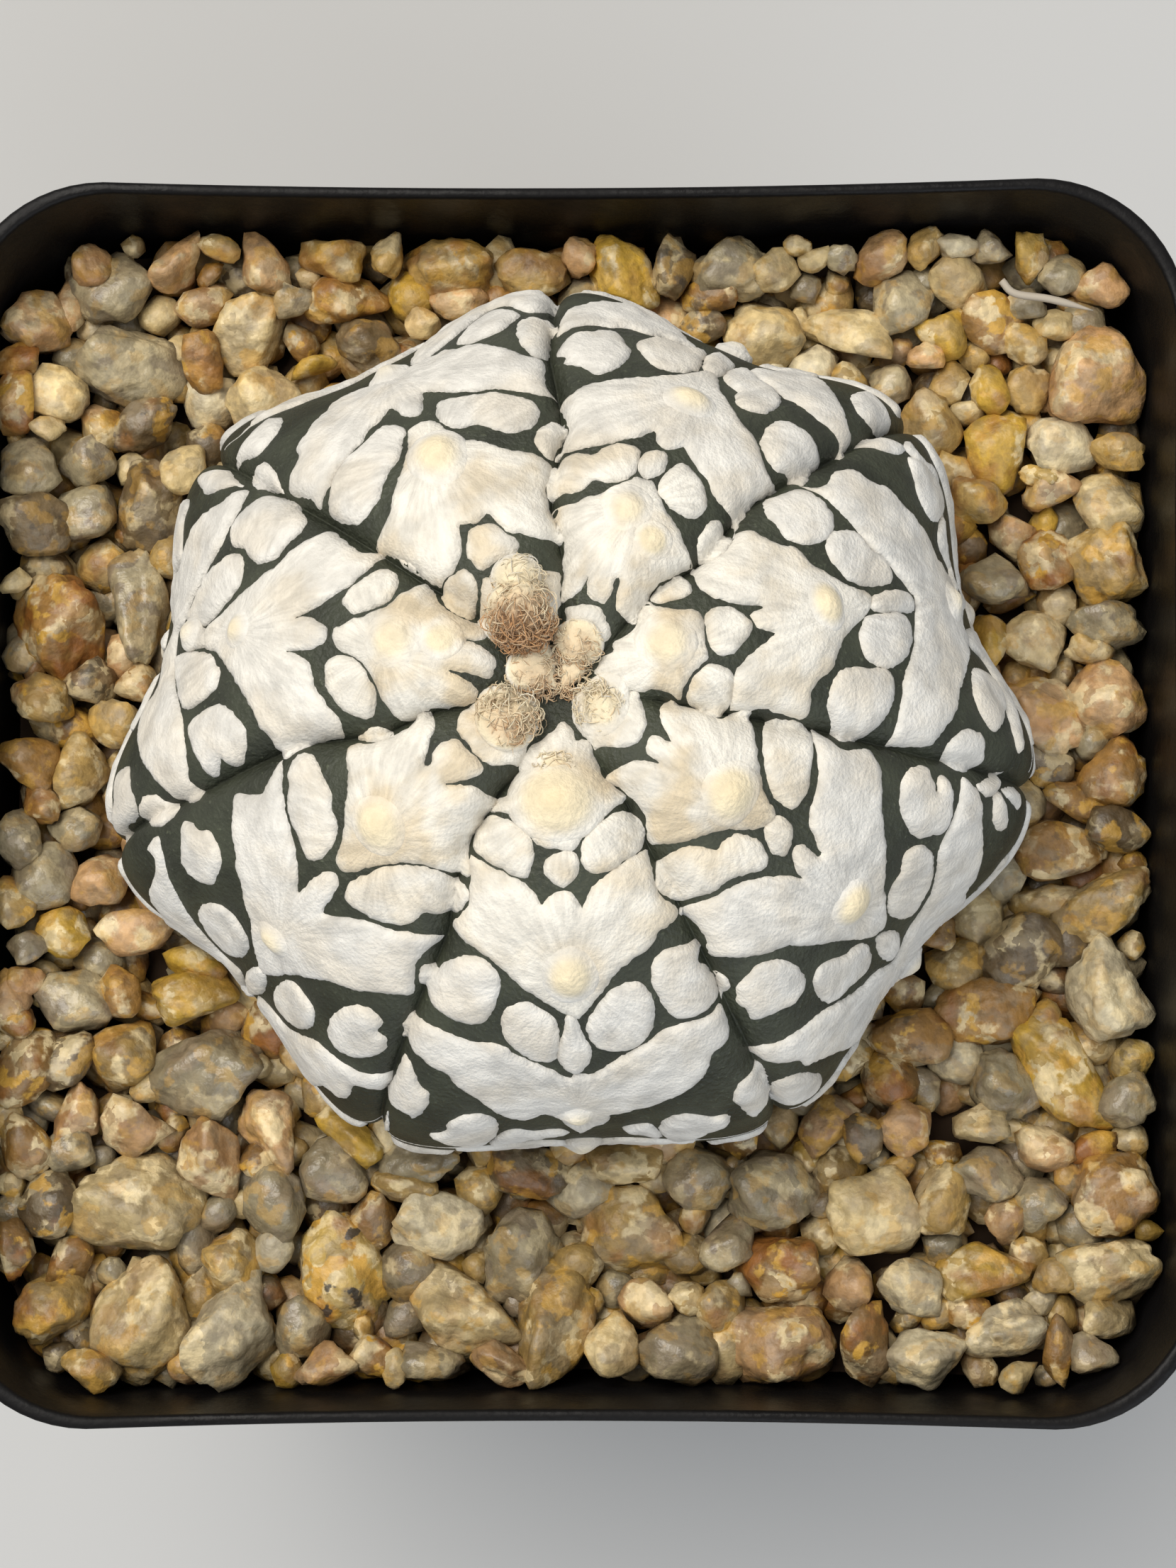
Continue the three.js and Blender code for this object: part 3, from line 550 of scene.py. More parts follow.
     1332,1307, 1316,1323, 1299,1339, 1301,1364, 1291,1380, 1263,1396, 1246,1409, 1238,1429, 1226,1449,
     1214,1470, 1197,1482, 1169,1494, 1140,1507, 1128,1500, 1095,1504, 1077,1498, 1059,1484, 1075,1478,
     1095,1476, 1116,1466, 1140,1449, 1165,1429, 1193,1413, 1218,1396, 1242,1372, 1263,1360, 1275,1339,
     1283,1319, 1299,1294, 1316,1266, 1324,1241, 1328,1209, 1336,1184, 1348,1160, 1357,1131],
    [1087,1545, 1095,1531, 1116,1523, 1140,1517, 1161,1521, 1161,1531, 1148,1547, 1128,1558, 1103,1559,
     1091,1556],
    [1165,1543, 1177,1523, 1193,1498, 1206,1484, 1214,1486, 1212,1507, 1197,1527, 1181,1545, 1167,1556],
    [1406,1123, 1414,1117, 1422,1131, 1426,1151, 1422,1170, 1414,1174, 1406,1160],
    [1389,1266, 1401,1241, 1418,1217, 1434,1200, 1440,1200, 1434,1221, 1418,1245, 1401,1266],
    [1418,1115, 1434,1111, 1442,1123, 1442,1143, 1434,1135],
],
"crown": [
    [680,815, 692,812, 704,794, 722,788, 738,786, 753,797, 771,803, 790,807, 791,821, 790,840, 791,849,
     780,880, 740,900, 700,905, 680,890, 673,876, 677,852, 678,830],
    [796,861, 808,853, 827,851, 845,855, 854,867, 860,882, 863,895, 854,904, 839,904, 810,900],
],
}

# Areole pads that the photograph shows: x, y, half width and half length in pixels, tone.
PADS = {
    "near": [(785, 1125, 50, 46, 0.75), (804, 1376, 31, 36, 0.5), (815, 1574, 23, 20, 0.15),
             (824, 1614, 20, 18, 0.1)],
    "right": [(1166, 852, 30, 24, 0.6), (1343, 848, 26, 19, 0.1)],
    "right_far": [(973, 566, 32, 27, 0.35), (1038, 494, 22, 18, 0.05)],
    "far": [(618, 645, 33, 40, 0.45), (548, 530, 25, 24, 0.05)],
    "left": [(335, 888, 22, 20, 0.2), (268, 893, 20, 24, 0.1)],
    "left_near": [(534, 1164, 34, 30, 0.6), (386, 1325, 25, 22, 0.25)],
    "right_near": [(1030, 1118, 36, 32, 0.7), (1203, 1274, 32, 30, 0.6), (1289, 1364, 22, 19, 0.1)],
}

# Steps of a fleck's edge and of its top, and the smallest area that becomes a fleck
EDGE_SPACING = 0.22
FELT_SPACING = 0.36
SMALLEST_FLECK = 0.35
# The gap between the traced flecks and the ruled ones: azimuth in degrees and arc length
SEAM_TABLE = ((0, 39.5), (16, 40), (24, 37.5), (64, 38), (72, 39.5), (112, 39.5), (120, 34.5), (140, 34.5),
              (146, 42), (160, 42), (168, 38), (190, 38), (196, 42), (240, 42), (248, 41), (300, 41), (306, 42),
              (344, 42), (352, 39.5))
# Past this arc length the areole pads come from the areole table, with this many millimetres to a pixel
SEAM_ARC = 42.2
PAD_PIXEL = 0.05
CREAM = (0.76, 0.66, 0.46)
TAN = (0.66, 0.55, 0.38)
# A mound's foot is level with the felt's top. Its grid has this many turns and rows.
MOUND_FOOT = 0.36
MOUND_GRID = (36, 14)


def chart(azimuth, arc):
    """Flat chart of the plant: the arc length is the distance from the middle, the azimuth the direction."""
    turn = np.radians(azimuth)
    return np.stack([arc * np.cos(turn), arc * np.sin(turn)], -1)


def from_chart(points):
    """Azimuth and arc length of places on the chart."""
    return np.degrees(np.arctan2(points[..., 1], points[..., 0])), np.hypot(points[..., 0], points[..., 1])


def seam(azimuth):
    """Arc length of the wavy gap between the flecks read from the photograph and those made by the rule."""
    turn = np.radians(azimuth)
    places, arcs = np.array(SEAM_TABLE).T
    waves = 0.3 * np.sin(5 * turn + 1), 0.25 * np.sin(11 * turn)
    return np.interp(azimuth, places, arcs, period=360) + waves[0] + waves[1]


def ruled_flecks(rib):
    """Outlines for the side that the photograph can't show. Each areole has a V-shaped band whose arms rise to
    the grooves, two ovals a side beyond it, and a small link on the crest."""
    reach = MEAN_RADIUS * math.pi / 7
    place = np.linspace(-1, 1, 25)
    around = np.linspace(0, 2 * np.pi, 18, endpoint=False)
    areoles = [arc for arc in AREOLE_ARCS[rib] if arc > 34] + [AREOLE_ARCS[rib][-1] + 11.5]
    outlines = []
    for areole in areoles:
        bend = areole + 1 - 0.62 * reach * 0.93 * np.abs(place)
        half = mix(2.1, 1.2, np.abs(place) ** 1.5)
        across = np.concatenate([place, place[::-1]]) * 0.93
        outlines.append((across, np.concatenate([bend - half, (bend + half)[::-1]])))
        for centre in (-0.78, -0.34, 0.34, 0.78):
            middle = areole + 6.9 - 0.6 * reach * abs(centre)
            outlines.append((centre + 0.155 * np.cos(around), middle + 1.75 * np.sin(around)))
        outlines.append((0.06 * np.cos(around), areole + 4.6 + 1.4 * np.sin(around)))
    points = []
    for across, arc in outlines:
        azimuth = rib_azimuth(rib, across, arc)
        arc = np.maximum(arc, seam(azimuth) + 0.3)
        points.append(chart(azimuth, arc))
    return points


def rib_edges(rib, arc):
    """Azimuths of the grooves before and after a rib at the given arc lengths."""
    after = (rib + 1) % 7
    full_turn = 360 if after == 0 else 0
    return (
        GROOVES[rib] + np.interp(arc, WANDER_ARCS, GROOVE_WANDER[rib]),
        GROOVES[after] + full_turn + np.interp(arc, WANDER_ARCS, GROOVE_WANDER[after]),
    )


def rib_azimuth(rib, across, arc):
    """Azimuth of a place across a rib, which is -1 and 1 in its grooves and 0 on its crest."""
    before, after = rib_edges(rib, arc)
    return CRESTS[rib] + across * np.where(across < 0, CRESTS[rib] - before, after - CRESTS[rib])


def polygon_area(ring):
    """Signed area of a closed ring, by the shoelace sum."""
    x, y = ring.T
    return 0.5 * float(np.sum(x * np.roll(y, -1) - np.roll(x, -1) * y))


def edge_distance(points, ring):
    """Distance of each point to a closed ring of short segments, and whether it lies inside by the even-odd
    rule."""
    start, end = ring[None], np.roll(ring, -1, axis=0)[None]
    along = end - start
    offset = points[:, None] - start
    t = np.clip((offset * along).sum(-1) / np.maximum((along**2).sum(-1), 1e-12), 0, 1)
    distance = np.sqrt(((offset - along * t[..., None]) ** 2).sum(-1)).min(1)
    x, y = points[:, None, 0], points[:, None, 1]
    crosses = (start[..., 1] > y) != (end[..., 1] > y)
    slope = (x - start[..., 0]) * (end[..., 1] - start[..., 1]) - (y - start[..., 1]) * along[..., 0]
    left = np.where(end[..., 1] > start[..., 1], slope < 0, slope > 0)
    return distance, (crosses & left).sum(1) % 2 == 1


def fleck_mesh(outline, areole, seed, thickness):
    """One felt fleck, closed on its underside. Its outline is a smooth curve with a ragged edge. Its height over
    the skin is thickness times 1 - exp(-distance to the edge over a soft width), with streaks that run away
    from the areole."""
    ring = even_steps(catmull_rom(outline, 8, closed=True), EDGE_SPACING, closed=True)
    area = polygon_area(ring)
    if abs(area) < SMALLEST_FLECK:
        return None
    ring = ring if area > 0 else ring[::-1]
    tangent = np.roll(ring, -1, axis=0) - np.roll(ring, 1, axis=0)
    normal = np.column_stack([tangent[:, 1], -tangent[:, 0]]) / np.hypot(*tangent.T)[:, None]
    ragged = 0.04 * wave_noise(ring, seed, 1.1) + 0.03 * wave_noise(ring, seed + 1, 0.45)
    ring = ring + normal * ragged[:, None]
    low, high = ring.min(0), ring.max(0)
    rows = np.arange(low[1], high[1], FELT_SPACING * 0.866)
    columns = np.arange(low[0], high[0] + FELT_SPACING, FELT_SPACING)
    grid_x = columns[None, :] + (np.arange(len(rows)) % 2)[:, None] * FELT_SPACING / 2
    inner = np.column_stack([grid_x.ravel(), np.repeat(rows, len(columns))])
    inner = inner + 0.06 * np.random.default_rng(seed).normal(size=inner.shape)
    distance, inside = edge_distance(inner, ring)
    inner = inner[inside & (distance > 0.16)]
    sites = [Vector(p) for p in np.vstack([ring, inner]).tolist()]
    made = delaunay_2d_cdt(sites, [], [list(range(len(ring)))], 1, 1e-6)
    flat, faces = np.array([tuple(p) for p in made[0]]), [tuple(face) for face in made[2]]
    sides = np.array([(a, b) for face in faces for a, b in zip(face, face[1:] + face[:1])])
    key, back = sides[:, 0] * len(flat) + sides[:, 1], sides[:, 1] * len(flat) + sides[:, 0]
    rim = sides[~np.isin(key, back)]
    depth = edge_distance(flat, ring)[0]
    depth[np.unique(rim)] = 0
    azimuth, arc = from_chart(flat)
    away = flat - areole
    far = np.hypot(*away.T)
    aim = away / np.maximum(far, 1e-6)[:, None]
    fibre = np.column_stack([7 * aim, 0.35 * far])
    streaks = wave_noise(fibre, seed + 2, 1.1, 20)
    lumps = wave_noise(flat, seed + 3, 2.4)
    full = 1 - np.exp(-depth / 0.2)
    lift = 0.03 + thickness * full * (1 + 0.14 * smooth(depth, 0.2, 1.6))
    lift = lift + smooth(depth, 0.05, 0.5) * (0.03 * streaks + 0.04 * lumps)
    top, base = skin_points(azimuth, arc, lift), skin_points(azimuth, arc, -0.25)
    total = len(flat)
    faces += [tuple(total + i for i in reversed(face)) for face in faces]
    faces += np.column_stack([rim[:, 1], rim[:, 0], total + rim[:, 0], total + rim[:, 1]]).tolist()
    return np.vstack([top, base]), faces, np.vstack([fibre, fibre])


def rib_areoles(rib):
    """Chart places of a rib's areoles."""
    arcs = np.array(AREOLE_ARCS[rib])
    return chart(np.full(len(arcs), CRESTS[rib]), arcs)


def rib_flecks(name, thickness):
    """All flecks of one rib as one mesh: those read from the photograph and those made by the rule."""
    rib = RIB_NAMES.index(name) if name in RIB_NAMES else None
    outlines = []
    for flat in FLECKS.get(name, []):
        azimuth, arc = on_plant(np.array(flat, float).reshape(-1, 2))
        outlines.append(chart(azimuth, np.minimum(arc, seam(azimuth) - 0.3)))
    if rib is not None:
        outlines += ruled_flecks(rib)
    areoles = rib_areoles(rib) if rib is not None else np.array([[0.0, 0.0]])
    points, faces, fibres, tones = [], [], [], []
    total = 0
    for index, outline in enumerate(outlines):
        centre = outline.mean(0)
        nearest = areoles[np.hypot(*(areoles - centre).T).argmin()]
        made = fleck_mesh(outline, nearest, 40 * len(name) + 7 * index + int(abs(centre[0]) * 10), thickness)
        if made is None:
            continue
        points.append(made[0])
        faces += [tuple(total + i for i in face) for face in made[1]]
        fibres.append(made[2])
        # Warmth, by distance from the crown, brings tan patches near it and a painted bluish shade far from it.
        reach = np.hypot(*centre)
        tones.append(np.full(len(made[0]), 1 - smooth(reach, 6, 24)))
        total += len(made[0])
    return np.vstack(points), faces, {
        "fibre": np.vstack(fibres), "warmth": np.concatenate(tones),
    }


def skin_frames(azimuth, arc):
    """Points on the skin with unit vectors round the plant, down its meridian and out of it."""
    here = skin_points(azimuth, arc)
    around = skin_points(azimuth + 0.4, arc) - skin_points(azimuth - 0.4, arc)
    down = skin_points(azimuth, arc + 0.15) - skin_points(azimuth, arc - 0.15)
    around /= np.linalg.norm(around, axis=-1, keepdims=True)
    down /= np.linalg.norm(down, axis=-1, keepdims=True)
    out = np.cross(down, around)
    return here, around, down, out / np.linalg.norm(out, axis=-1, keepdims=True)


def mound(azimuth, arc, half_width, half_length, height, seed, rough=0.05, power=2.0):
    """A soft closed cushion on the skin. Over a polar grid its lift is the felt's level plus height times
    (1 - r^2)^power out to 1.4 half widths, roughened by soft noise, and it is closed by the same grid under the
    skin. Gives the points, the faces and each point's share of the height."""
    turns, rows = MOUND_GRID
    turn = np.linspace(0, 2 * np.pi, turns, endpoint=False)[None, :]
    r = np.linspace(0, 1, rows + 1)[1:, None] ** 0.85
    radius = float(np.interp(arc, ARCS, SHARES)) * MEAN_RADIUS
    east, south = 1.4 * half_width * r * np.cos(turn), 1.4 * half_length * r * np.sin(turn)
    turned = azimuth + np.degrees(east / max(radius, 2.5))
    down = np.maximum(arc + south, 0.05)
    spot = np.stack([east, south], -1).reshape(-1, 2)
    uneven = 1 + rough * wave_noise(spot, seed, 1.6).reshape(r.shape[0], turns)
    share = np.broadcast_to(np.maximum(1 - r**2, 0) ** power, turned.shape)
    fuzz = 0.2 * rough * height * wave_noise(spot, seed + 1, 0.6).reshape(turned.shape) * share**0.5
    top = skin_points(turned, down, MOUND_FOOT * smooth(share, 0, 0.02) + height * share * uneven + fuzz)
    base = skin_points(turned, down, -0.3)
    peak = skin_points(azimuth, arc, MOUND_FOOT + height)
    root = skin_points(azimuth, arc, -0.3)
    points = np.vstack([top.reshape(-1, 3), base.reshape(-1, 3), peak, root])
    total = rows * turns
    rings = grid_faces(rows, turns)
    first = np.arange(turns)
    after = np.roll(first, -1)
    last, last_after = first + (rows - 1) * turns, after + (rows - 1) * turns
    faces = rings.tolist() + (rings[:, ::-1] + total).tolist()
    faces += np.column_stack([after, first, np.full(turns, 2 * total)]).tolist()
    faces += np.column_stack([first + total, after + total, np.full(turns, 2 * total + 1)]).tolist()
    faces += np.column_stack([last, last_after, last_after + total, last + total]).tolist()
    shares = np.concatenate([share.ravel(), np.zeros(total), [1.0, 0.0]])
    return points, faces, shares


def tubes(paths, radii, sides=3):
    """Hairs along whole arrays of paths: each point gets a ring of vertices square to the path, and the hair tapers
    toward its end."""
    count, steps = paths.shape[:2]
    tangent = np.gradient(paths, axis=1)
    tangent /= np.maximum(np.linalg.norm(tangent, axis=-1, keepdims=True), 1e-9)
    helper = np.where(np.abs(tangent[..., 2:]) < 0.9, [0.0, 0.0, 1.0], [1.0, 0.0, 0.0])
    side = np.cross(tangent, helper)
    side /= np.maximum(np.linalg.norm(side, axis=-1, keepdims=True), 1e-9)
    other = np.cross(tangent, side)
    taper = np.minimum(1, 4 * (1 - np.linspace(0, 1, steps)) + 0.15)[None, :, None, None]
    angle = np.arange(sides) * 2 * np.pi / sides
    spokes = side[:, :, None] * np.cos(angle)[:, None] + other[:, :, None] * np.sin(angle)[:, None]
    points = paths[:, :, None] + spokes * taper * radii[:, None, None, None]
    base = (np.arange(count) * steps * sides)[:, None]
    quads = (base[:, :, None] + grid_faces(steps, sides)[None]).reshape(-1, 4)
    first = np.arange(sides)
    ends = np.concatenate([base + first[::-1], base + (steps - 1) * sides + first])
    return points.reshape(-1, 3), quads.tolist() + ends.tolist()


def join(parts):
    """Several pairs of points and faces as one."""
    starts = np.cumsum([0] + [len(points) for points, _ in parts])
    faces = []
    for (_, loops), start in zip(parts, starts.tolist()):
        faces += [tuple(i + start for i in loop) for loop in loops]
    return np.vstack([points for points, _ in parts]), faces


# The crown's wool

# Soft woolly mounds: x, y, half width in pixels, height in mm, hairs, curl, brownness, and how much browner
# the side toward the viewer is than the far side.
TUFTS = [
    (733, 868, 50, 2.1, 560, 1.0, 0.66, 0.3),
    (730, 818, 38, 1.2, 200, 0.8, 0.28, 0.1),
    (716, 1012, 48, 1.3, 360, 1.0, 0.5, 0.15),
    (846, 994, 40, 1.3, 150, 0.6, 0.3, 0.05),
    (815, 908, 36, 0.9, 190, 0.9, 0.52, 0.1),
    (755, 945, 42, 0.9, 300, 1.0, 0.52, 0.15),
    (802, 955, 32, 0.6, 180, 1.0, 0.52, 0.15),
    (938, 905, 42, 0.7, 0, 0.4, 0.24, 0.1),
    (884, 716, 36, 0.7, 0, 0.3, 0.2, 0.1),
    (920, 762, 28, 0.4, 0, 0.6, 0.34, 0.1),
    (556, 900, 42, 0.65, 0, 0.4, 0.2, 0.1),
    (622, 900, 30, 0.3, 0, 0.6, 0.28, 0.1),
    (785, 1135, 42, 0.7, 0, 0.6, 0.28, 0.0),
    (782, 1086, 30, 0.4, 60, 0.6, 0.38, 0.05),
]
HAIR_STEPS = 14


def tuft_hairs(place, around, down, out, half, height, count, curl, seed):
    """Hairs wound over a mound. Each runs along a great circle of an ellipsoid at its own depth, and winds round
    that path in small curls as it goes."""
    draw = np.random.default_rng(seed)
    axis = draw.normal(size=(count, 3))
    axis /= np.linalg.norm(axis, axis=1, keepdims=True)
    first = np.cross(axis, draw.normal(size=(count, 3)))
    first /= np.linalg.norm(first, axis=1, keepdims=True)
    second = np.cross(axis, first)
    t = np.linspace(0, 1, HAIR_STEPS)[None, :, None]
    span = draw.uniform(0.4, 1.3, (count, 1, 1))
    depth = draw.uniform(0.84, 0.98, (count, 1, 1)) + draw.uniform(-0.05, 0.2, (count, 1, 1)) * t**2
    turn = draw.uniform(0, 2 * np.pi, (count, 1, 1)) + span * t
    pace, phase = draw.uniform(4, 13, (count, 1, 1)), draw.uniform(0, 6.3, (count, 1, 1))
    size = curl * draw.uniform(0.07, 0.24, (count, 1, 1))
    ray = first[:, None] * np.cos(turn) + second[:, None] * np.sin(turn)
    ball = (depth + size * np.cos(pace * t + phase)) * ray + size * np.sin(pace * t + phase) * axis[:, None]
    ball = ball[ball.mean(1)[:, 2] > 0.1]
    raised = height * ball[..., 2:] * out
    paths = place + 0.2 * out + half * (ball[..., :1] * around + ball[..., 1:2] * down) + raised
    return tubes(paths, draw.uniform(0.03, 0.056, len(paths)))


def pixel_size(point):
    """How many millimetres a photograph pixel spans at a point."""
    return float(-((point - CAMERA_PLACE) @ CAMERA_AXES)[2] / FOCAL_PIXELS)


def wool_mesh(density):
    """All tufts of the crown: a felt mound under each, and hairs wound over it."""
    parts, tones = [], []
    for index, (x, y, half_pixels, height, count, curl, brown, lean) in enumerate(TUFTS):
        azimuth, arc = on_plant(np.array([[x, y]], float))
        place, around, down, out = (v[0] for v in skin_frames(azimuth, arc))
        half = half_pixels * pixel_size(place)
        wide, power = (0.7 * half, 0.8) if curl > 0.6 else (0.8 * half, 2.0)
        points, faces, shares = mound(azimuth[0], arc[0], wide, wide, 0.9 * height, 300 + index, 0.14, power)
        viewer = np.clip((place[1] - points[:, 1]) / half, -1, 1)
        parts.append((points, faces))
        tones.append(np.clip(smooth(shares, 0.0, 0.9) * (brown + lean * viewer), 0, 1))
        if count == 0:
            continue
        hairs = tuft_hairs(place, around, down, out, half, height, int(count * density), curl, 500 + index)
        points = hairs[0]
        per_hair = 3 * HAIR_STEPS
        viewer = np.clip((place[1] - points[:, 1].reshape(-1, per_hair).mean(1)) / half, -1, 1)
        spread = np.random.default_rng(700 + index).normal(0, 0.13, len(viewer))
        parts.append(hairs)
        tones.append(np.repeat(np.clip(brown + lean * viewer + spread, 0, 1), per_hair))
    return join(parts), np.concatenate(tones)


# The gravel

GRAVEL_LEVEL = 69.0
# Kinds of stone: tint, share of rust stain, of dark specks and of grey quartz.
STONE_KINDS = {
    "honey": ((0.49, 0.325, 0.115), 0.45, 0.25, 0.25),
    "cream": ((0.68, 0.53, 0.29), 0.22, 0.12, 0.25),
    "grey": ((0.34, 0.29, 0.20), 0.1, 0.05, 0.8),
    "pale": ((0.74, 0.65, 0.48), 0.08, 0.1, 0.3),
    "pink": ((0.61, 0.37, 0.185), 0.3, 0.15, 0.2),
    "rust": ((0.36, 0.19, 0.05), 0.8, 0.3, 0.2),
    "ochre": ((0.56, 0.35, 0.05), 0.45, 0.12, 0.1),
    "dark": ((0.15, 0.105, 0.055), 0.4, 0.4, 0.4),
    "speckled": ((0.60, 0.42, 0.13), 0.5, 1.0, 0.3),
}
KIND_NAMES = tuple(STONE_KINDS)
DRY_STEM = [(1413, 396), (1432, 414), (1482, 422), (1542, 438)]
STONE_FLATNESS = 0.78
# Seeded stones lie inside this half width and outside this circle about the plant.
SCATTER_REACH = 43.0
PLANT_CLEARANCE = 27.0
FILLER_COUNT = 460
# Layers of seeded stones: range of sizes, spacing as a share of the sizes, whether they lie over or under the
# gravel's level and by how much, the longest stretch, and the share of each kind.
FILLER_LAYERS = (
    ((1.0, 2.6), 0.66, 1, (0.0, 1.3), 1.45, (0.24, 0.13, 0.16, 0.05, 0.1, 0.16, 0.07, 0.08, 0.01)),
    ((1.5, 2.6), 0.55, -1, (0.7, 2.0), 1.4, (0.26, 0.06, 0.15, 0.03, 0.06, 0.22, 0.04, 0.17, 0.01)),
)


def ball_directions(level):
    """Directions and faces of an icosahedron whose faces are split in four, level times over."""
    golden = (1 + 5**0.5) / 2
    corners = [(-1, golden, 0), (1, golden, 0), (-1, -golden, 0), (1, -golden, 0),
               (0, -1, golden), (0, 1, golden), (0, -1, -golden), (0, 1, -golden),
               (golden, 0, -1), (golden, 0, 1), (-golden, 0, -1), (-golden, 0, 1)]
    faces = [(0, 11, 5), (0, 5, 1), (0, 1, 7), (0, 7, 10), (0, 10, 11), (1, 5, 9), (5, 11, 4), (11, 10, 2),
             (10, 7, 6), (7, 1, 8), (3, 9, 4), (3, 4, 2), (3, 2, 6), (3, 6, 8), (3, 8, 9), (4, 9, 5), (2, 4, 11),
             (6, 2, 10), (8, 6, 7), (9, 8, 1)]
    points, faces = np.array(corners, float), np.array(faces)
    for _ in range(level):
        pairs = np.sort(np.concatenate([faces[:, [0, 1]], faces[:, [1, 2]], faces[:, [2, 0]]]), axis=1)
        unique, place = np.unique(pairs, axis=0, return_inverse=True)
        ab, bc, ca = np.split(len(points) + place.ravel(), 3)
        points = np.vstack([points, points[unique].mean(1)])
        a, b, c = faces.T
        quarters = (a, ab, ca), (b, bc, ab), (c, ca, bc), (ab, bc, ca)
        faces = np.concatenate([np.column_stack(quarter) for quarter in quarters])
    return points / np.linalg.norm(points, axis=1, keepdims=True), faces


def stone_points(directions, half_sizes, turn, place, seed, sharp=13.0):
    """A worn broken stone. Its reach in a direction d is the sum over some random planes of
    (max(n.d, 0) / h) to the power p, to the power -1/p, which is a polyhedron with rounded edges. Soft noise
    roughens it."""
    draw = np.random.default_rng(seed)
    planes = draw.normal(size=(24, 3))
    planes /= np.linalg.norm(planes, axis=1, keepdims=True)
    heights = draw.uniform(0.72, 1.12, 24)
    facing = np.maximum(directions @ planes.T, 0) / heights
    reach = (facing**sharp).sum(1) ** (-1 / sharp)
    ridges = 0.075 * np.abs(wave_noise(directions, seed + 6, 0.6))
    lumps = 0.05 * wave_noise(directions, seed + 5, 0.9) - ridges
    shape = directions * (reach * (1 + lumps))[:, None]
    shape *= np.array(half_sizes) / np.abs(shape).max(0)
    tilt = Euler((draw.uniform(-0.3, 0.3), draw.uniform(-0.3, 0.3), turn), "XYZ").to_matrix()
    return keep_inside(shape @ np.array(tilt).T + place)


def keep_inside(points):
    """Points pushed as one along the wall's own slope until none is past the pot's inside."""
    for _ in range(3):
        clear = square_reach(points[:, 0], points[:, 1]) - 0.05
        if clear.min() >= 0:
            break
        x, y = points[np.argmin(clear), :2]
        here, step = square_reach(x, y), 0.01
        slope = np.array([square_reach(x + step, y) - here, square_reach(x, y + step) - here]) / step
        points[:, :2] -= clear.min() * slope
    return points


def pot_inner(level):
    """Half width of the pot's inside at a level."""
    return outer_half(level) - WALL


def outer_half(level):
    """Half width of the pot's outside at a level."""
    foot = POT_HEIGHT - COLLAR_HEIGHT
    collar = POT_WIDTH / 2 - COLLAR_TAPER
    upper = mix(collar, POT_WIDTH / 2, (level - foot) / COLLAR_HEIGHT)
    lower = mix(POT_BASE_WIDTH / 2, collar - COLLAR_STEP, level / (foot - COLLAR_STEP))
    return np.where(level >= foot, upper, lower)


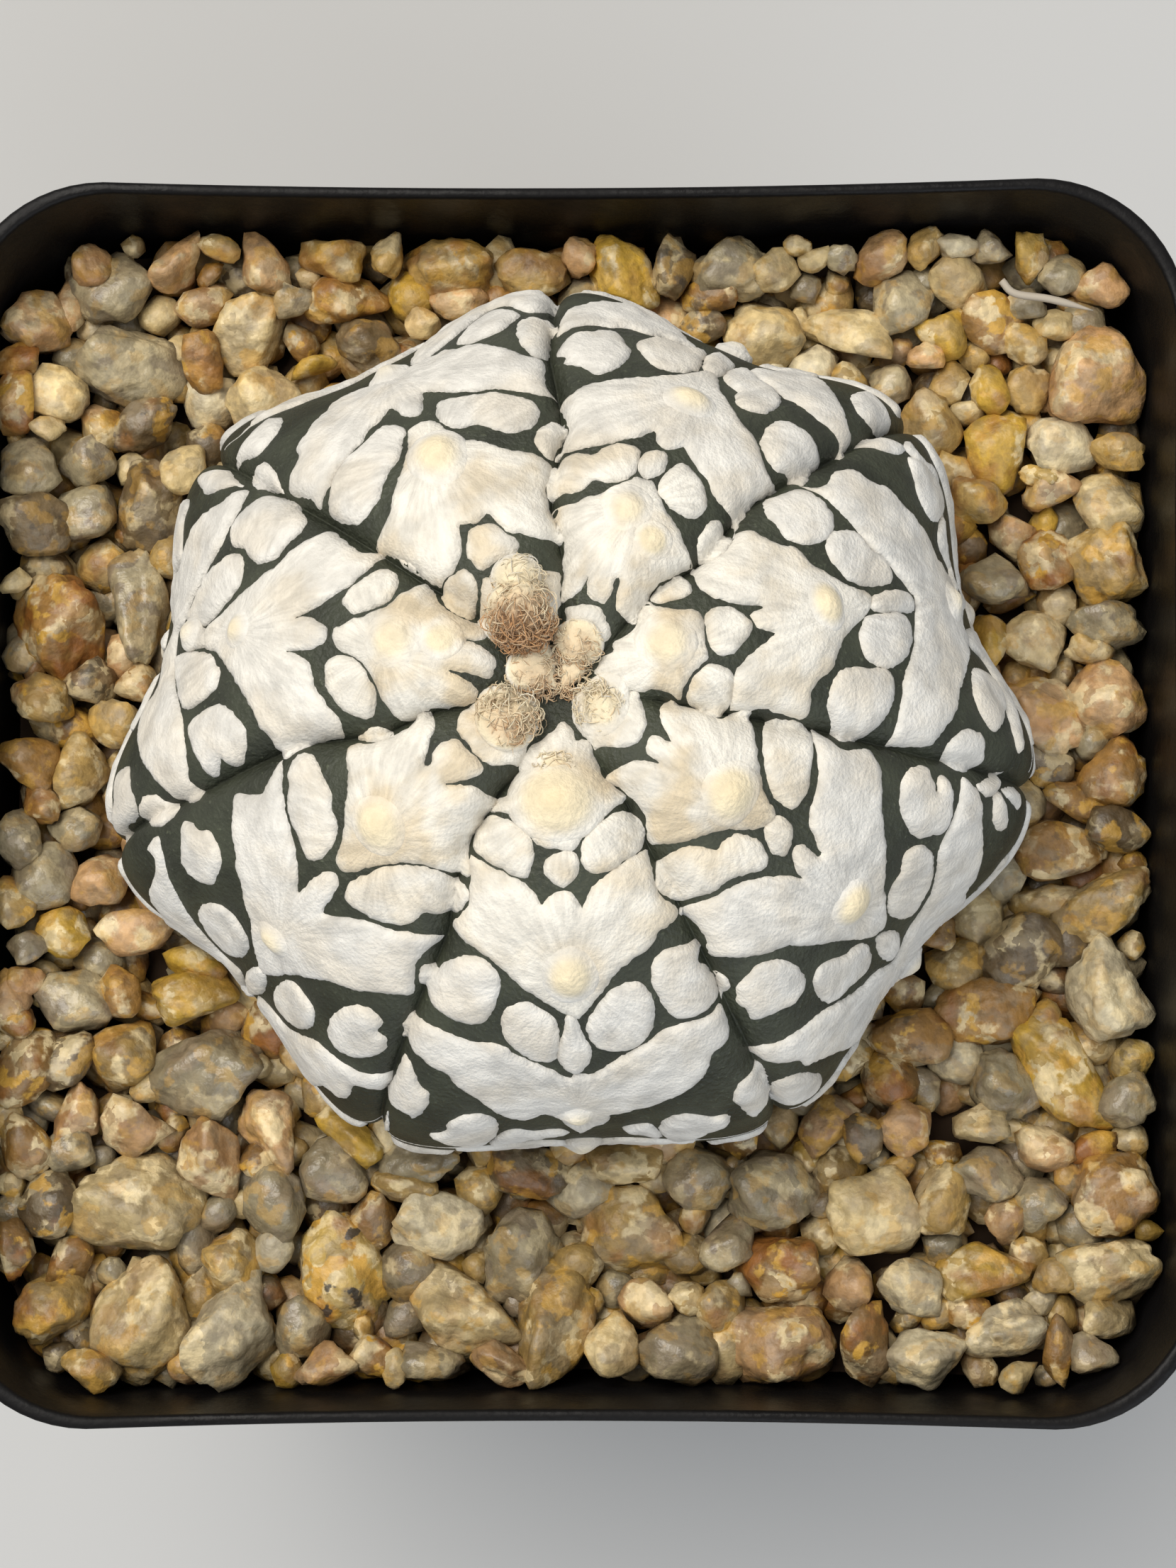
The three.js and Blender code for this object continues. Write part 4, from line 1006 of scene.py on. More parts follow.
# Stones that the photograph shows: x, y, half length and half width in pixels, turn in degrees, kind.
STONES = [
    (155, 400, 56, 52, 0, "grey"), (238, 368, 58, 46, 20, "pink"), (122, 370, 36, 34, 0, "pink"),
    (35, 455, 50, 48, 0, "pink"), (180, 510, 78, 62, -8, "grey"), (80, 558, 46, 42, 0, "cream"),
    (68, 602, 26, 22, 0, "cream"), (120, 652, 42, 38, 0, "grey"), (115, 722, 42, 40, 0, "grey"),
    (205, 592, 62, 32, 30, "dark"), (212, 712, 62, 48, 80, "dark"), (255, 664, 46, 32, 75, "cream"),
    (350, 455, 60, 54, 40, "cream"), (365, 556, 56, 46, 0, "cream"), (310, 348, 32, 24, 0, "honey"),
    (375, 358, 46, 38, 80, "pink"), (470, 362, 48, 34, 0, "honey"), (478, 420, 64, 38, 0, "rust"),
    (408, 432, 34, 30, 0, "grey"), (512, 482, 60, 42, -12, "dark"), (448, 512, 38, 22, 0, "ochre"),
    (286, 505, 44, 26, 90, "rust"), (548, 356, 30, 24, 80, "honey"), (634, 368, 74, 52, -5, "honey"),
    (594, 458, 26, 25, 0, "cream"), (645, 428, 42, 22, 0, "pink"), (752, 384, 52, 34, 0, "honey"),
    (816, 356, 30, 26, 60, "pink"), (10, 565, 44, 30, 90, "rust"), (36, 658, 44, 42, 0, "grey"),
    (22, 735, 52, 44, 0, "dark"), (8, 508, 34, 24, 0, "rust"),
    (876, 368, 62, 42, -45, "ochre"), (945, 372, 48, 34, 90, "dark"), (1042, 362, 64, 48, 0, "grey"),
    (1094, 384, 34, 30, 0, "cream"), (1000, 414, 40, 28, 0, "rust"), (992, 458, 42, 26, 0, "dark"),
    (1078, 465, 54, 48, 0, "cream"), (1148, 366, 24, 18, 0, "cream"), (1124, 346, 20, 15, 0, "honey"),
    (1184, 360, 25, 24, 0, "grey"), (1240, 358, 42, 34, 40, "pink"), (1194, 456, 64, 54, 0, "cream"),
    (1270, 424, 46, 44, 0, "grey"), (1301, 346, 34, 24, 60, "honey"), (1355, 392, 44, 42, 0, "cream"),
    (1396, 352, 30, 28, 0, "grey"), (1350, 345, 30, 18, 0, "pale"), (1452, 366, 38, 27, 95, "ochre"),
    (1500, 388, 32, 30, 0, "grey"), (1560, 402, 36, 31, -30, "pink"), (1442, 430, 32, 22, 0, "grey"),
    (1490, 456, 30, 22, 0, "cream"), (1332, 470, 42, 34, 0, "ochre"), (1402, 452, 42, 42, 0, "rust"),
    (1450, 486, 36, 28, 0, "honey"), (1567, 527, 72, 70, 0, "pink"), (1308, 500, 26, 18, 0, "pink"),
    (1316, 598, 50, 46, 90, "honey"), (1395, 546, 36, 32, 90, "ochre"), (1450, 546, 34, 28, 80, "honey"),
    (1402, 632, 58, 42, 90, "ochre"), (1256, 540, 34, 28, 80, "grey"), (1500, 618, 50, 44, -20, "pale"),
    (1576, 630, 36, 34, 0, "honey"), (1464, 666, 26, 22, 0, "ochre"), (1388, 708, 46, 38, 0, "honey"),
    (1482, 690, 44, 27, 10, "pink"), (1566, 716, 56, 50, 40, "cream"),
    (1480, 792, 44, 38, 90, "rust"), (1580, 792, 60, 58, 0, "honey"), (1408, 820, 50, 42, 0, "grey"),
    (1462, 902, 44, 40, -30, "cream"), (1396, 902, 42, 28, 90, "ochre"), (1562, 878, 54, 34, 0, "grey"),
    (1536, 918, 34, 22, 0, "honey"), (1472, 1002, 66, 46, -55, "pink"), (1576, 986, 58, 54, 0, "pink"),
    (1578, 1092, 52, 50, 0, "rust"), (1478, 1078, 50, 30, 0, "dark"), (1528, 1134, 56, 28, -20, "rust"),
    (1492, 1200, 58, 42, 10, "rust"), (1592, 1170, 44, 32, 0, "dark"), (1566, 1278, 78, 40, 32, "honey"),
    (1440, 1344, 60, 54, 0, "dark"), (1578, 1408, 104, 64, 97, "pale"), (1318, 1312, 36, 26, 0, "rust"),
    (1400, 1424, 72, 46, 0, "rust"), (1504, 1518, 92, 48, -57, "ochre"), (1286, 1462, 56, 40, 0, "rust"),
    (1416, 1532, 62, 48, 0, "grey"), (1592, 1556, 44, 40, 0, "grey"), (1166, 1586, 48, 36, 20, "pink"),
    (1284, 1592, 50, 40, 25, "pink"), (1216, 1602, 34, 30, 90, "dark"), (1376, 1588, 44, 30, 20, "cream"),
    (1392, 1654, 50, 40, 0, "grey"), (1474, 1628, 42, 35, -10, "pink"), (1420, 1722, 36, 30, 60, "pink"),
    (1464, 1696, 40, 38, 0, "grey"), (1596, 1680, 66, 62, 0, "rust"), (1232, 1720, 68, 62, 85, "cream"),
    (1324, 1700, 54, 42, 80, "honey"), (1092, 1682, 76, 52, 0, "grey"), (984, 1662, 56, 42, 0, "grey"),
    (880, 1640, 50, 30, 0, "honey"), (892, 1734, 98, 60, -35, "honey"), (1026, 1766, 42, 38, 90, "grey"),
    (1110, 1792, 62, 48, 20, "rust"), (914, 1838, 37, 34, 0, "pink"), (970, 1830, 26, 22, 0, "honey"),
    (1014, 1850, 42, 34, 70, "honey"), (866, 1902, 44, 38, 90, "cream"), (952, 1920, 54, 46, 0, "grey"),
    (1114, 1902, 100, 60, 14, "pink"), (1220, 1898, 56, 34, 90, "rust"), (1288, 1814, 44, 40, 0, "pale"),
    (1392, 1796, 66, 38, 0, "ochre"), (1318, 1928, 60, 46, 18, "pale"), (1424, 1884, 62, 42, 6, "pale"),
    (1430, 1946, 32, 22, 0, "cream"), (1496, 1904, 48, 22, 90, "rust"), (1574, 1792, 64, 46, 20, "cream"),
    (1560, 1868, 50, 34, 0, "cream"), (1542, 1920, 38, 30, 0, "grey"), (1492, 1800, 32, 24, 0, "honey"),
    (194, 1700, 90, 76, -20, "cream"), (292, 1508, 80, 68, 25, "grey"), (172, 1492, 50, 48, 60, "honey"),
    (32, 1505, 56, 40, 60, "rust"), (94, 1498, 38, 34, 90, "dark"), (114, 1570, 40, 34, 90, "pink"),
    (180, 1596, 50, 44, -30, "pink"), (296, 1642, 62, 42, 110, "pink"), (374, 1574, 66, 44, 78, "pink"),
    (460, 1652, 52, 48, 0, "grey"), (490, 1602, 52, 26, -40, "ochre"), (388, 1702, 52, 42, 90, "grey"),
    (326, 1786, 52, 42, 10, "honey"), (32, 1618, 52, 36, 100, "rust"), (66, 1702, 54, 42, 80, "dark"),
    (96, 1622, 34, 30, 0, "grey"), (62, 1848, 70, 52, 48, "honey"), (196, 1868, 84, 66, 70, "cream"),
    (326, 1898, 88, 58, 62, "pale"), (420, 1878, 46, 40, 80, "grey"), (452, 1930, 46, 30, 20, "pink"),
    (476, 1806, 84, 70, 80, "speckled"), (585, 1636, 60, 30, 0, "grey"), (570, 1672, 44, 28, 0, "honey"),
    (622, 1730, 66, 46, -5, "pale"), (748, 1660, 66, 46, 0, "dark"), (732, 1772, 62, 58, 90, "grey"),
    (648, 1858, 88, 58, -20, "cream"), (784, 1886, 88, 50, 85, "honey"), (700, 1938, 60, 28, -14, "pink"),
    (608, 1930, 42, 30, 0, "grey"), (526, 1912, 30, 28, 0, "rust"), (556, 1936, 26, 20, 90, "cream"),
    (130, 1932, 42, 28, -20, "honey"), (14, 1768, 42, 32, 90, "rust"), (108, 1412, 56, 42, -10, "grey"),
    (10, 1402, 40, 30, 90, "pink"), (24, 1442, 28, 24, 0, "rust"), (262, 1402, 66, 42, 0, "ochre"),
    (168, 1398, 36, 34, 0, "rust"),
    (80, 880, 88, 64, 100, "rust"), (196, 850, 84, 42, 92, "grey"), (54, 986, 44, 34, -20, "honey"),
    (128, 962, 44, 40, 0, "dark"), (160, 1022, 38, 34, 0, "honey"), (34, 1068, 58, 44, 90, "rust"),
    (110, 1086, 50, 38, 90, "honey"), (195, 962, 32, 28, 0, "rust"), (12, 1186, 42, 34, 90, "grey"),
    (112, 1168, 44, 32, 0, "grey"), (58, 1130, 30, 24, 90, "rust"), (60, 1238, 46, 42, 90, "grey"),
    (138, 1242, 42, 36, 30, "pink"), (180, 1316, 56, 34, -5, "pink"), (20, 1276, 36, 30, 90, "honey"),
    (86, 1316, 36, 34, 0, "ochre"), (38, 1336, 30, 24, 0, "grey"), (26, 1384, 32, 28, 0, "pink"),
    (268, 1352, 46, 32, 0, "ochre"),
]


def square_reach(x, y):
    """Distance of a place from the wall inside at the gravel's level, negative past it. The sides are drawn in
    by the parabola of square_outline."""
    half = float(pot_inner(GRAVEL_LEVEL + 3))
    straight = (1 - CORNER_SHARE) * half
    x, y = np.abs(x), np.abs(y)
    corner = half - straight - np.hypot(np.maximum(x - straight, 0), np.maximum(y - straight, 0))
    bow_x = 0.9 * SIDE_BOW * (1 - np.minimum(y / straight, 1) ** 2)
    bow_y = 0.9 * SIDE_BOW * (1 - np.minimum(x / straight, 1) ** 2)
    return np.minimum(corner, half - np.maximum(x + bow_x, y + bow_y))


def scatter(count, size_range, clearance, seed, taken):
    """Seeded places for stones, drawn from the largest down: each keeps clear of the wall, of the plant and of
    the stones already there."""
    draw = np.random.default_rng(seed)
    placed = []
    centres = np.array([row[:3] for row in taken]) if taken else np.zeros((0, 3))
    sizes = np.sort(draw.uniform(*size_range, count))[::-1]
    for size in sizes:
        for _ in range(60):
            x, y = draw.uniform(-SCATTER_REACH, SCATTER_REACH, 2)
            if square_reach(x, y) < 0.7 * size:
                continue
            if math.hypot(x - PLANT_AXIS[0], y - PLANT_AXIS[1]) < PLANT_CLEARANCE:
                continue
            gaps = np.hypot(centres[:, 0] - x, centres[:, 1] - y)
            if (gaps < clearance * (centres[:, 2] + size)).any():
                continue
            placed.append((x, y, size))
            centres = np.vstack([centres, (x, y, size)])
            break
    return placed


def gravel_rise(x, y):
    """How far the gravel climbs toward the wall."""
    return 1.4 * (1 - smooth(square_reach(x, y), 0, 8))


def stone_rows(seed):
    """Rows of place, size, level, stretch, turn, kind and detail: stones read from the photograph, seeded ones
    between them, and a lower layer that fills the gaps."""
    draw = np.random.default_rng(seed)
    scale = (CAMERA_PLACE[2] - GRAVEL_LEVEL - 2.5) / FOCAL_PIXELS
    rows = []
    for x, y, long_half, wide_half, turn, kind in STONES:
        spot = np.array([x, y], float)
        rise = gravel_rise(*at_level(spot, GRAVEL_LEVEL + 2.5)[:2])
        place = at_level(spot, GRAVEL_LEVEL + 2.5 + rise)
        size = 1.13 * math.sqrt(long_half * wide_half) * scale
        level = GRAVEL_LEVEL + 3.0 - 0.5 * size + rise
        rows.append((place[0], place[1], size, level, long_half / wide_half, math.radians(turn),
                     KIND_NAMES.index(kind), 3 if long_half > 58 else 2))
    for step, (sizes, clearance, side, depths, stretch, shares) in enumerate(FILLER_LAYERS):
        taken = rows if step == 0 else []
        for x, y, size in scatter(FILLER_COUNT, sizes, clearance, seed + step, taken):
            level = GRAVEL_LEVEL + side * draw.uniform(*depths) + gravel_rise(x, y)
            rows.append((x, y, size, level, draw.uniform(1, stretch), draw.uniform(0, 3.14),
                         int(draw.choice(len(shares), p=shares)), 1))
    return rows


def stones_from(rows, seed, first):
    """The stones of the rows as one mesh, each with its tint and its traits drawn round those of its kind, and the
    tint brightened toward the far side as painted light.
    """
    parts, tints, traits = [], [], []
    balls = {level: ball_directions(level) for level in (1, 2, 3)}
    draw = np.random.default_rng(seed + 9)
    for index, (x, y, size, level, stretch, turn, kind, detail) in enumerate(rows):
        directions, faces = balls[detail]
        root = math.sqrt(stretch)
        place = np.array([x, y, level])
        half_sizes = (size * root, size / root, STONE_FLATNESS * size)
        points = stone_points(directions, half_sizes, turn, place, seed + first + index)
        parts.append((points, faces.tolist()))
        tint, rust, specks, grey = STONE_KINDS[KIND_NAMES[kind]]
        # Painted light: the factor 1 + 0.006 y brightens the stones toward the far side; the rest is a random
        # brightness, a little lower for the seeded fillers.
        shade = draw.uniform(0.78, 1.2) * (1.0 if detail > 1 else 0.88) * (1 + 0.006 * y)
        tints.append(np.tile(np.array(tint) * shade * (1, 0.98, 0.86), (len(points), 1)))
        trait = np.array([rust, specks, grey]) * draw.uniform((0.3, 0, 0.5), (1.6, 1.4, 1.3))
        traits.append(np.tile(trait, (len(points), 1)))
    points, faces = join(parts)
    return points, faces, {"tint": np.vstack(tints), "traits": np.vstack(traits)}


def bed_mesh():
    """The dark bed under the stones, as a turned profile on the pot's square outline."""
    half = float(pot_inner(GRAVEL_LEVEL - 4)) - 0.4
    profile = [(0.0, 63.0), (half - 0.6, 63.0), (half, GRAVEL_LEVEL - 2.4), (0.0, GRAVEL_LEVEL - 2.4)]
    return square_turning(profile, 14, 8)


# The pot

def square_outline(half, corner_steps, side_steps):
    """A round-cornered square with its corners at a share of the half width, its sides drawn in by a parabola
    that fades with the fourth power of the half width."""
    radius = CORNER_SHARE * half
    bow = SIDE_BOW * (half / (POT_WIDTH / 2)) ** 4
    along = np.linspace(-1, 1, side_steps + 1)
    side = np.column_stack([half - bow * (1 - along**2), along * (half - radius)])
    turn = np.linspace(0, np.pi / 2, corner_steps + 1)[1:-1]
    corner = half - radius + radius * np.column_stack([np.cos(turn), np.sin(turn)])
    quarter = np.vstack([side, corner])
    angles = np.arange(4) * np.pi / 2
    turns = [np.array([[math.cos(a), math.sin(a)], [-math.sin(a), math.cos(a)]]) for a in angles]
    return np.vstack([quarter @ spin for spin in turns])


def square_turning(profile, corner_steps, side_steps):
    """A profile of half widths and levels carried round the square outline. A half width of 0 is a pole."""
    rings = [square_outline(max(half, 1e-4), corner_steps, side_steps) for half, _ in profile]
    columns = len(rings[0])
    levels = [np.full(columns, level) for _, level in profile]
    points = np.vstack([np.column_stack([ring, level]) for ring, level in zip(rings, levels)])
    faces = grid_faces(len(profile), columns)
    keep = np.ones(len(points), bool)
    poles = []
    for row, (half, level) in enumerate(profile):
        if half > 0:
            continue
        keep[row * columns:(row + 1) * columns] = False
        poles.append((row, level))
    number = np.cumsum(keep) - 1
    total = int(keep.sum())
    made = []
    points = np.vstack([points[keep], [[0.0, 0.0, level] for _, level in poles]])
    pole_of = {row: total + i for i, (row, _) in enumerate(poles)}
    for face in faces.tolist():
        turned = []
        for i in face:
            value = pole_of.get(i // columns)
            value = int(number[i]) if value is None else value
            if value not in turned:
                turned.append(value)
        if len(turned) > 2:
            made.append(tuple(turned))
    return points, made


def rounded(corners, radius, steps=6):
    """A polyline with its inner corners rounded by quadratic curves."""
    points = [corners[0]]
    for before, corner, after in zip(corners[:-2], corners[1:-1], corners[2:]):
        before, corner, after = (np.array(p, float) for p in (before, corner, after))
        back, ahead = before - corner, after - corner
        cut = min(radius, 0.45 * np.hypot(*back), 0.45 * np.hypot(*ahead))
        start, end = corner + back / np.hypot(*back) * cut, corner + ahead / np.hypot(*ahead) * cut
        t = np.linspace(0, 1, steps)[:, None]
        points += ((1 - t) ** 2 * start + 2 * t * (1 - t) * corner + t**2 * end).tolist()
    points.append(corners[-1])
    return [tuple(p) for p in points]


def pot_profile():
    """Half widths and levels of the pot's section: out along the floor, up the outside and down the inside."""
    foot = POT_HEIGHT - COLLAR_HEIGHT
    step = foot - COLLAR_STEP
    collar = POT_WIDTH / 2 - COLLAR_TAPER
    outside = lambda level: float(outer_half(level))
    corners = [
        (0.0, 0.0), (outside(0), 0.0), (outside(step), step), (collar, foot), (POT_WIDTH / 2, POT_HEIGHT),
        (POT_WIDTH / 2 - WALL, POT_HEIGHT), (collar - WALL, foot), (outside(step) - WALL, step),
        (outside(POT_FLOOR) - WALL, POT_FLOOR), (0.0, POT_FLOOR),
    ]
    return rounded(corners, 0.6)


# The skin

def skin_mesh():
    """The green body as a grid of azimuth across the ribs, closer together toward the grooves, and of arc
    length from the crown to the buried root."""
    upper = np.linspace(0.25, DOME_ARC + 12, 140)
    arcs = np.concatenate([upper, np.linspace(DOME_ARC + 14, ARCS[-1] - 0.5, 22)])
    share = np.linspace(-1, 1, RIB_COLUMNS, endpoint=False)
    across = np.sign(share) * (1 - (1 - np.abs(share)) ** 1.4)
    azimuth = np.hstack([rib_azimuth(rib, across, arcs[:, None]) for rib in range(7)])
    points = skin_points(azimuth, arcs[:, None])
    columns = azimuth.shape[1]
    faces = grid_faces(len(arcs), columns)[:, ::-1].tolist()
    crown = skin_points(0.0, 0.0)
    tip = np.array([PLANT_AXIS[0], PLANT_AXIS[1], points[-1, :, 2].mean() - 0.5])
    points = np.vstack([points.reshape(-1, 3), crown, tip])
    first, last = np.arange(columns), (len(arcs) - 1) * columns + np.arange(columns)
    faces += [(int(a), int(b), len(points) - 2) for a, b in zip(first, np.roll(first, -1))]
    faces += [(int(b), int(a), len(points) - 1) for a, b in zip(last, np.roll(last, -1))]
    return points, faces


# Materials

def shader_of(material):
    """The material's main shader node."""
    return next(node for node in material.node_tree.nodes if node.type == "BSDF_PRINCIPLED")


def new_material(name, color, roughness, specular=0.3):
    """A plain material of one color."""
    material = bpy.data.materials.new(name)
    material.use_nodes = True
    shader = shader_of(material)
    shader.inputs["Base Color"].default_value = (*color, 1)
    shader.inputs["Roughness"].default_value = roughness
    shader.inputs["Specular IOR Level"].default_value = specular
    return material


def grain_group():
    """A node group for fine relief and mottling: noise at a scale gives a mask and a bumped normal."""
    if "Fine grain" in bpy.data.node_groups:
        return bpy.data.node_groups["Fine grain"]
    group = bpy.data.node_groups.new("Fine grain", "ShaderNodeTree")
    for name, way, kind in (("Vector", "INPUT", "Vector"), ("Scale", "INPUT", "Float"), ("Depth", "INPUT", "Float"),
                            ("Mask", "OUTPUT", "Float"), ("Normal", "OUTPUT", "Vector")):
        group.interface.new_socket(name=name, in_out=way, socket_type="NodeSocket" + kind)
    entry, leave = group.nodes.new("NodeGroupInput"), group.nodes.new("NodeGroupOutput")
    noise, bump = group.nodes.new("ShaderNodeTexNoise"), group.nodes.new("ShaderNodeBump")
    noise.inputs["Detail"].default_value = 4
    bump.inputs["Distance"].default_value = MM
    link = group.links.new
    link(entry.outputs["Vector"], noise.inputs["Vector"])
    link(entry.outputs["Scale"], noise.inputs["Scale"])
    link(entry.outputs["Depth"], bump.inputs["Strength"])
    link(noise.outputs["Fac"], bump.inputs["Height"])
    link(noise.outputs["Fac"], leave.inputs["Mask"])
    link(bump.outputs["Normal"], leave.inputs["Normal"])
    return group


class Weave:
    """Short calls that add and link a material's nodes."""

    def __init__(self, material):
        self.tree = material.node_tree
        self.shader = shader_of(material)

    def put(self, socket, value):
        if isinstance(value, bpy.types.NodeSocket):
            self.tree.links.new(value, socket)
        else:
            socket.default_value = value

    def add(self, kind, **inputs):
        """A new node whose named inputs are set or linked. An underscore in a name stands for a space."""
        node = self.tree.nodes.new("ShaderNode" + kind)
        for name, value in inputs.items():
            self.put(node.inputs[name.replace("_", " ")], value)
        return node

    def attribute(self, name, output="Vector"):
        node = self.add("Attribute")
        node.attribute_name = name
        return node.outputs[output]

    def object_place(self):
        return self.add("TexCoord").outputs["Object"]

    def noise(self, vector, scale, detail=3.0):
        return self.add("TexNoise", Vector=vector, Scale=scale, Detail=detail).outputs["Fac"]

    def cells(self, vector, scale, waver):
        """Three numbers for each cell of a wavering mosaic."""
        noise = self.add("TexNoise", Vector=vector, Scale=1.3 * scale)
        shift = self.add("VectorMath")
        shift.operation = "MULTIPLY_ADD"
        for socket, value in zip(shift.inputs, (noise.outputs["Color"], (waver, waver, waver), vector)):
            self.put(socket, value)
        mosaic = self.add("TexVoronoi", Vector=shift.outputs[0], Scale=scale)
        return self.add("SeparateColor", Color=mosaic.outputs["Color"]).outputs

    def grain(self, vector, scale, depth):
        node = self.add("Group")
        node.node_tree = grain_group()
        for name, value in (("Vector", vector), ("Scale", scale), ("Depth", depth)):
            self.put(node.inputs[name], value)
        return node

    def ramp(self, value, low, high, start=0.0, end=1.0):
        node = self.add("MapRange", Value=value, From_Min=low, From_Max=high, To_Min=start, To_Max=end)
        node.interpolation_type = "SMOOTHSTEP"
        return node.outputs["Result"]

    def math(self, kind, a, b):
        node = self.add("Math")
        node.operation = kind
        self.put(node.inputs[0], a)
        self.put(node.inputs[1], b)
        return node.outputs[0]

    def blend(self, share, a, b, kind="MIX"):
        node = self.add("Mix")
        node.data_type = "RGBA"
        node.blend_type = kind
        for index, value in ((0, share), (6, a), (7, b)):
            self.put(node.inputs[index], value)
        return node.outputs[2]

    def darken(self, color, share):
        """The color times a grey of the share."""
        return self.blend(1.0, color, self.blend(share, (0, 0, 0, 1), (1, 1, 1, 1)), "MULTIPLY")

    def bump(self, height, strength, distance, normal):
        node = self.add("Bump", Strength=strength, Distance=distance, Height=height, Normal=normal)
        return node.outputs["Normal"]


def soft_sheen(shader):
    """The faint sheen of felt and wool."""
    shader.inputs["Sheen Weight"].default_value = 0.15
    shader.inputs["Sheen Roughness"].default_value = 0.5


def felt_tint(weave, place, warmth, pale, tan):
    """Felt color: pale, blended toward a darker bluish copy as painted shade where the warmth is 0, low on the
    flanks far from the crown, with more tan patches toward 1, and worn patches.
    """
    patches = weave.ramp(weave.noise(place, 230, 3), 0.42, 0.66)
    warm = weave.math("MULTIPLY", patches, weave.ramp(warmth, 0.0, 1.0, 0.3, 0.95))
    # Painted shade: where the warmth is low, far from the crown and low on the flanks, the pale felt is blended
    # toward a darker, bluish copy of itself.
    painted_shade_color = tuple(c * f for c, f in zip(pale, (0.86, 0.885, 0.95)))
    color = weave.blend(weave.ramp(warmth, 0.0, 0.6, 0.6, 0.0), (*pale, 1), (*painted_shade_color, 1))
    color = weave.blend(warm, color, (*tan, 1))
    worn = weave.ramp(weave.noise(place, 420, 4), 0.3, 0.62, 0.82, 1.0)
    return weave.darken(color, worn)


def felt_material(name, pale, tan):
    """White felt with broad streaks along its fibres, warm patches near the crown and a painted bluish shade far
    from it, on the lower flanks.
    """
    material = new_material(name, pale, 0.95, 0.12)
    weave = Weave(material)
    fibre, place = weave.attribute("fibre"), weave.object_place()
    color = felt_tint(weave, place, weave.attribute("warmth", "Fac"), pale, tan)
    broad, fine = weave.noise(fibre, 1.1, 4), weave.noise(fibre, 3.4, 4)
    broad, finer = weave.ramp(broad, 0.3, 0.7, 0.85, 1.05), weave.ramp(fine, 0.3, 0.7, 0.92, 1.03)
    shade = weave.math("MULTIPLY", broad, finer)
    color = weave.darken(color, shade)
    weave.put(weave.shader.inputs["Base Color"], color)
    grain = weave.grain(place, 4200, 0.3)
    weave.put(weave.shader.inputs["Normal"], weave.bump(fine, 0.25, 0.2 * MM, grain.outputs["Normal"]))
    soft_sheen(weave.shader)
    return material


def wool_material(name, pale, tan, cream, brown):
    """The felt's color, with its painted bluish shade far from the crown, where the tone is 0, cream from a fifth
    of it on, and brown toward 1.
    """
    material = new_material(name, pale, 0.95, 0.1)
    weave = Weave(material)
    tone, place = weave.attribute("tone", "Fac"), weave.object_place()
    color = felt_tint(weave, place, weave.attribute("warmth", "Fac"), pale, tan)
    color = weave.blend(weave.ramp(tone, 0.0, 0.28), color, (*cream, 1))
    color = weave.blend(weave.ramp(tone, 0.25, 1.0), color, (*brown, 1))
    shade = weave.ramp(weave.noise(place, 900, 4), 0.3, 0.7, 0.88, 1.03)
    color = weave.darken(color, shade)
    weave.put(weave.shader.inputs["Base Color"], color)
    weave.put(weave.shader.inputs["Normal"], weave.grain(place, 3000, 0.3).outputs["Normal"])
    soft_sheen(weave.shader)
    return material


def skin_material(color):
    """Dark green skin, mottled, with fine pale dots where the grain is high."""
    material = new_material("Cactus skin", color, 0.55, 0.35)
    weave = Weave(material)
    place = weave.object_place()
    grain = weave.grain(place, 2600, 0.35)
    mottle = weave.noise(place, 300, 3)
    darker = tuple(0.7 * c for c in color)
    lighter = tuple(1.3 * c for c in color)
    shade = weave.blend(weave.ramp(mottle, 0.3, 0.7), (*darker, 1), (*lighter, 1))
    dots = weave.ramp(grain.outputs["Mask"], 0.62, 0.75)
    weave.put(weave.shader.inputs["Base Color"], weave.blend(dots, shade, (*(2.2 * c for c in color), 1)))
    weave.put(weave.shader.inputs["Normal"], grain.outputs["Normal"])
    return material


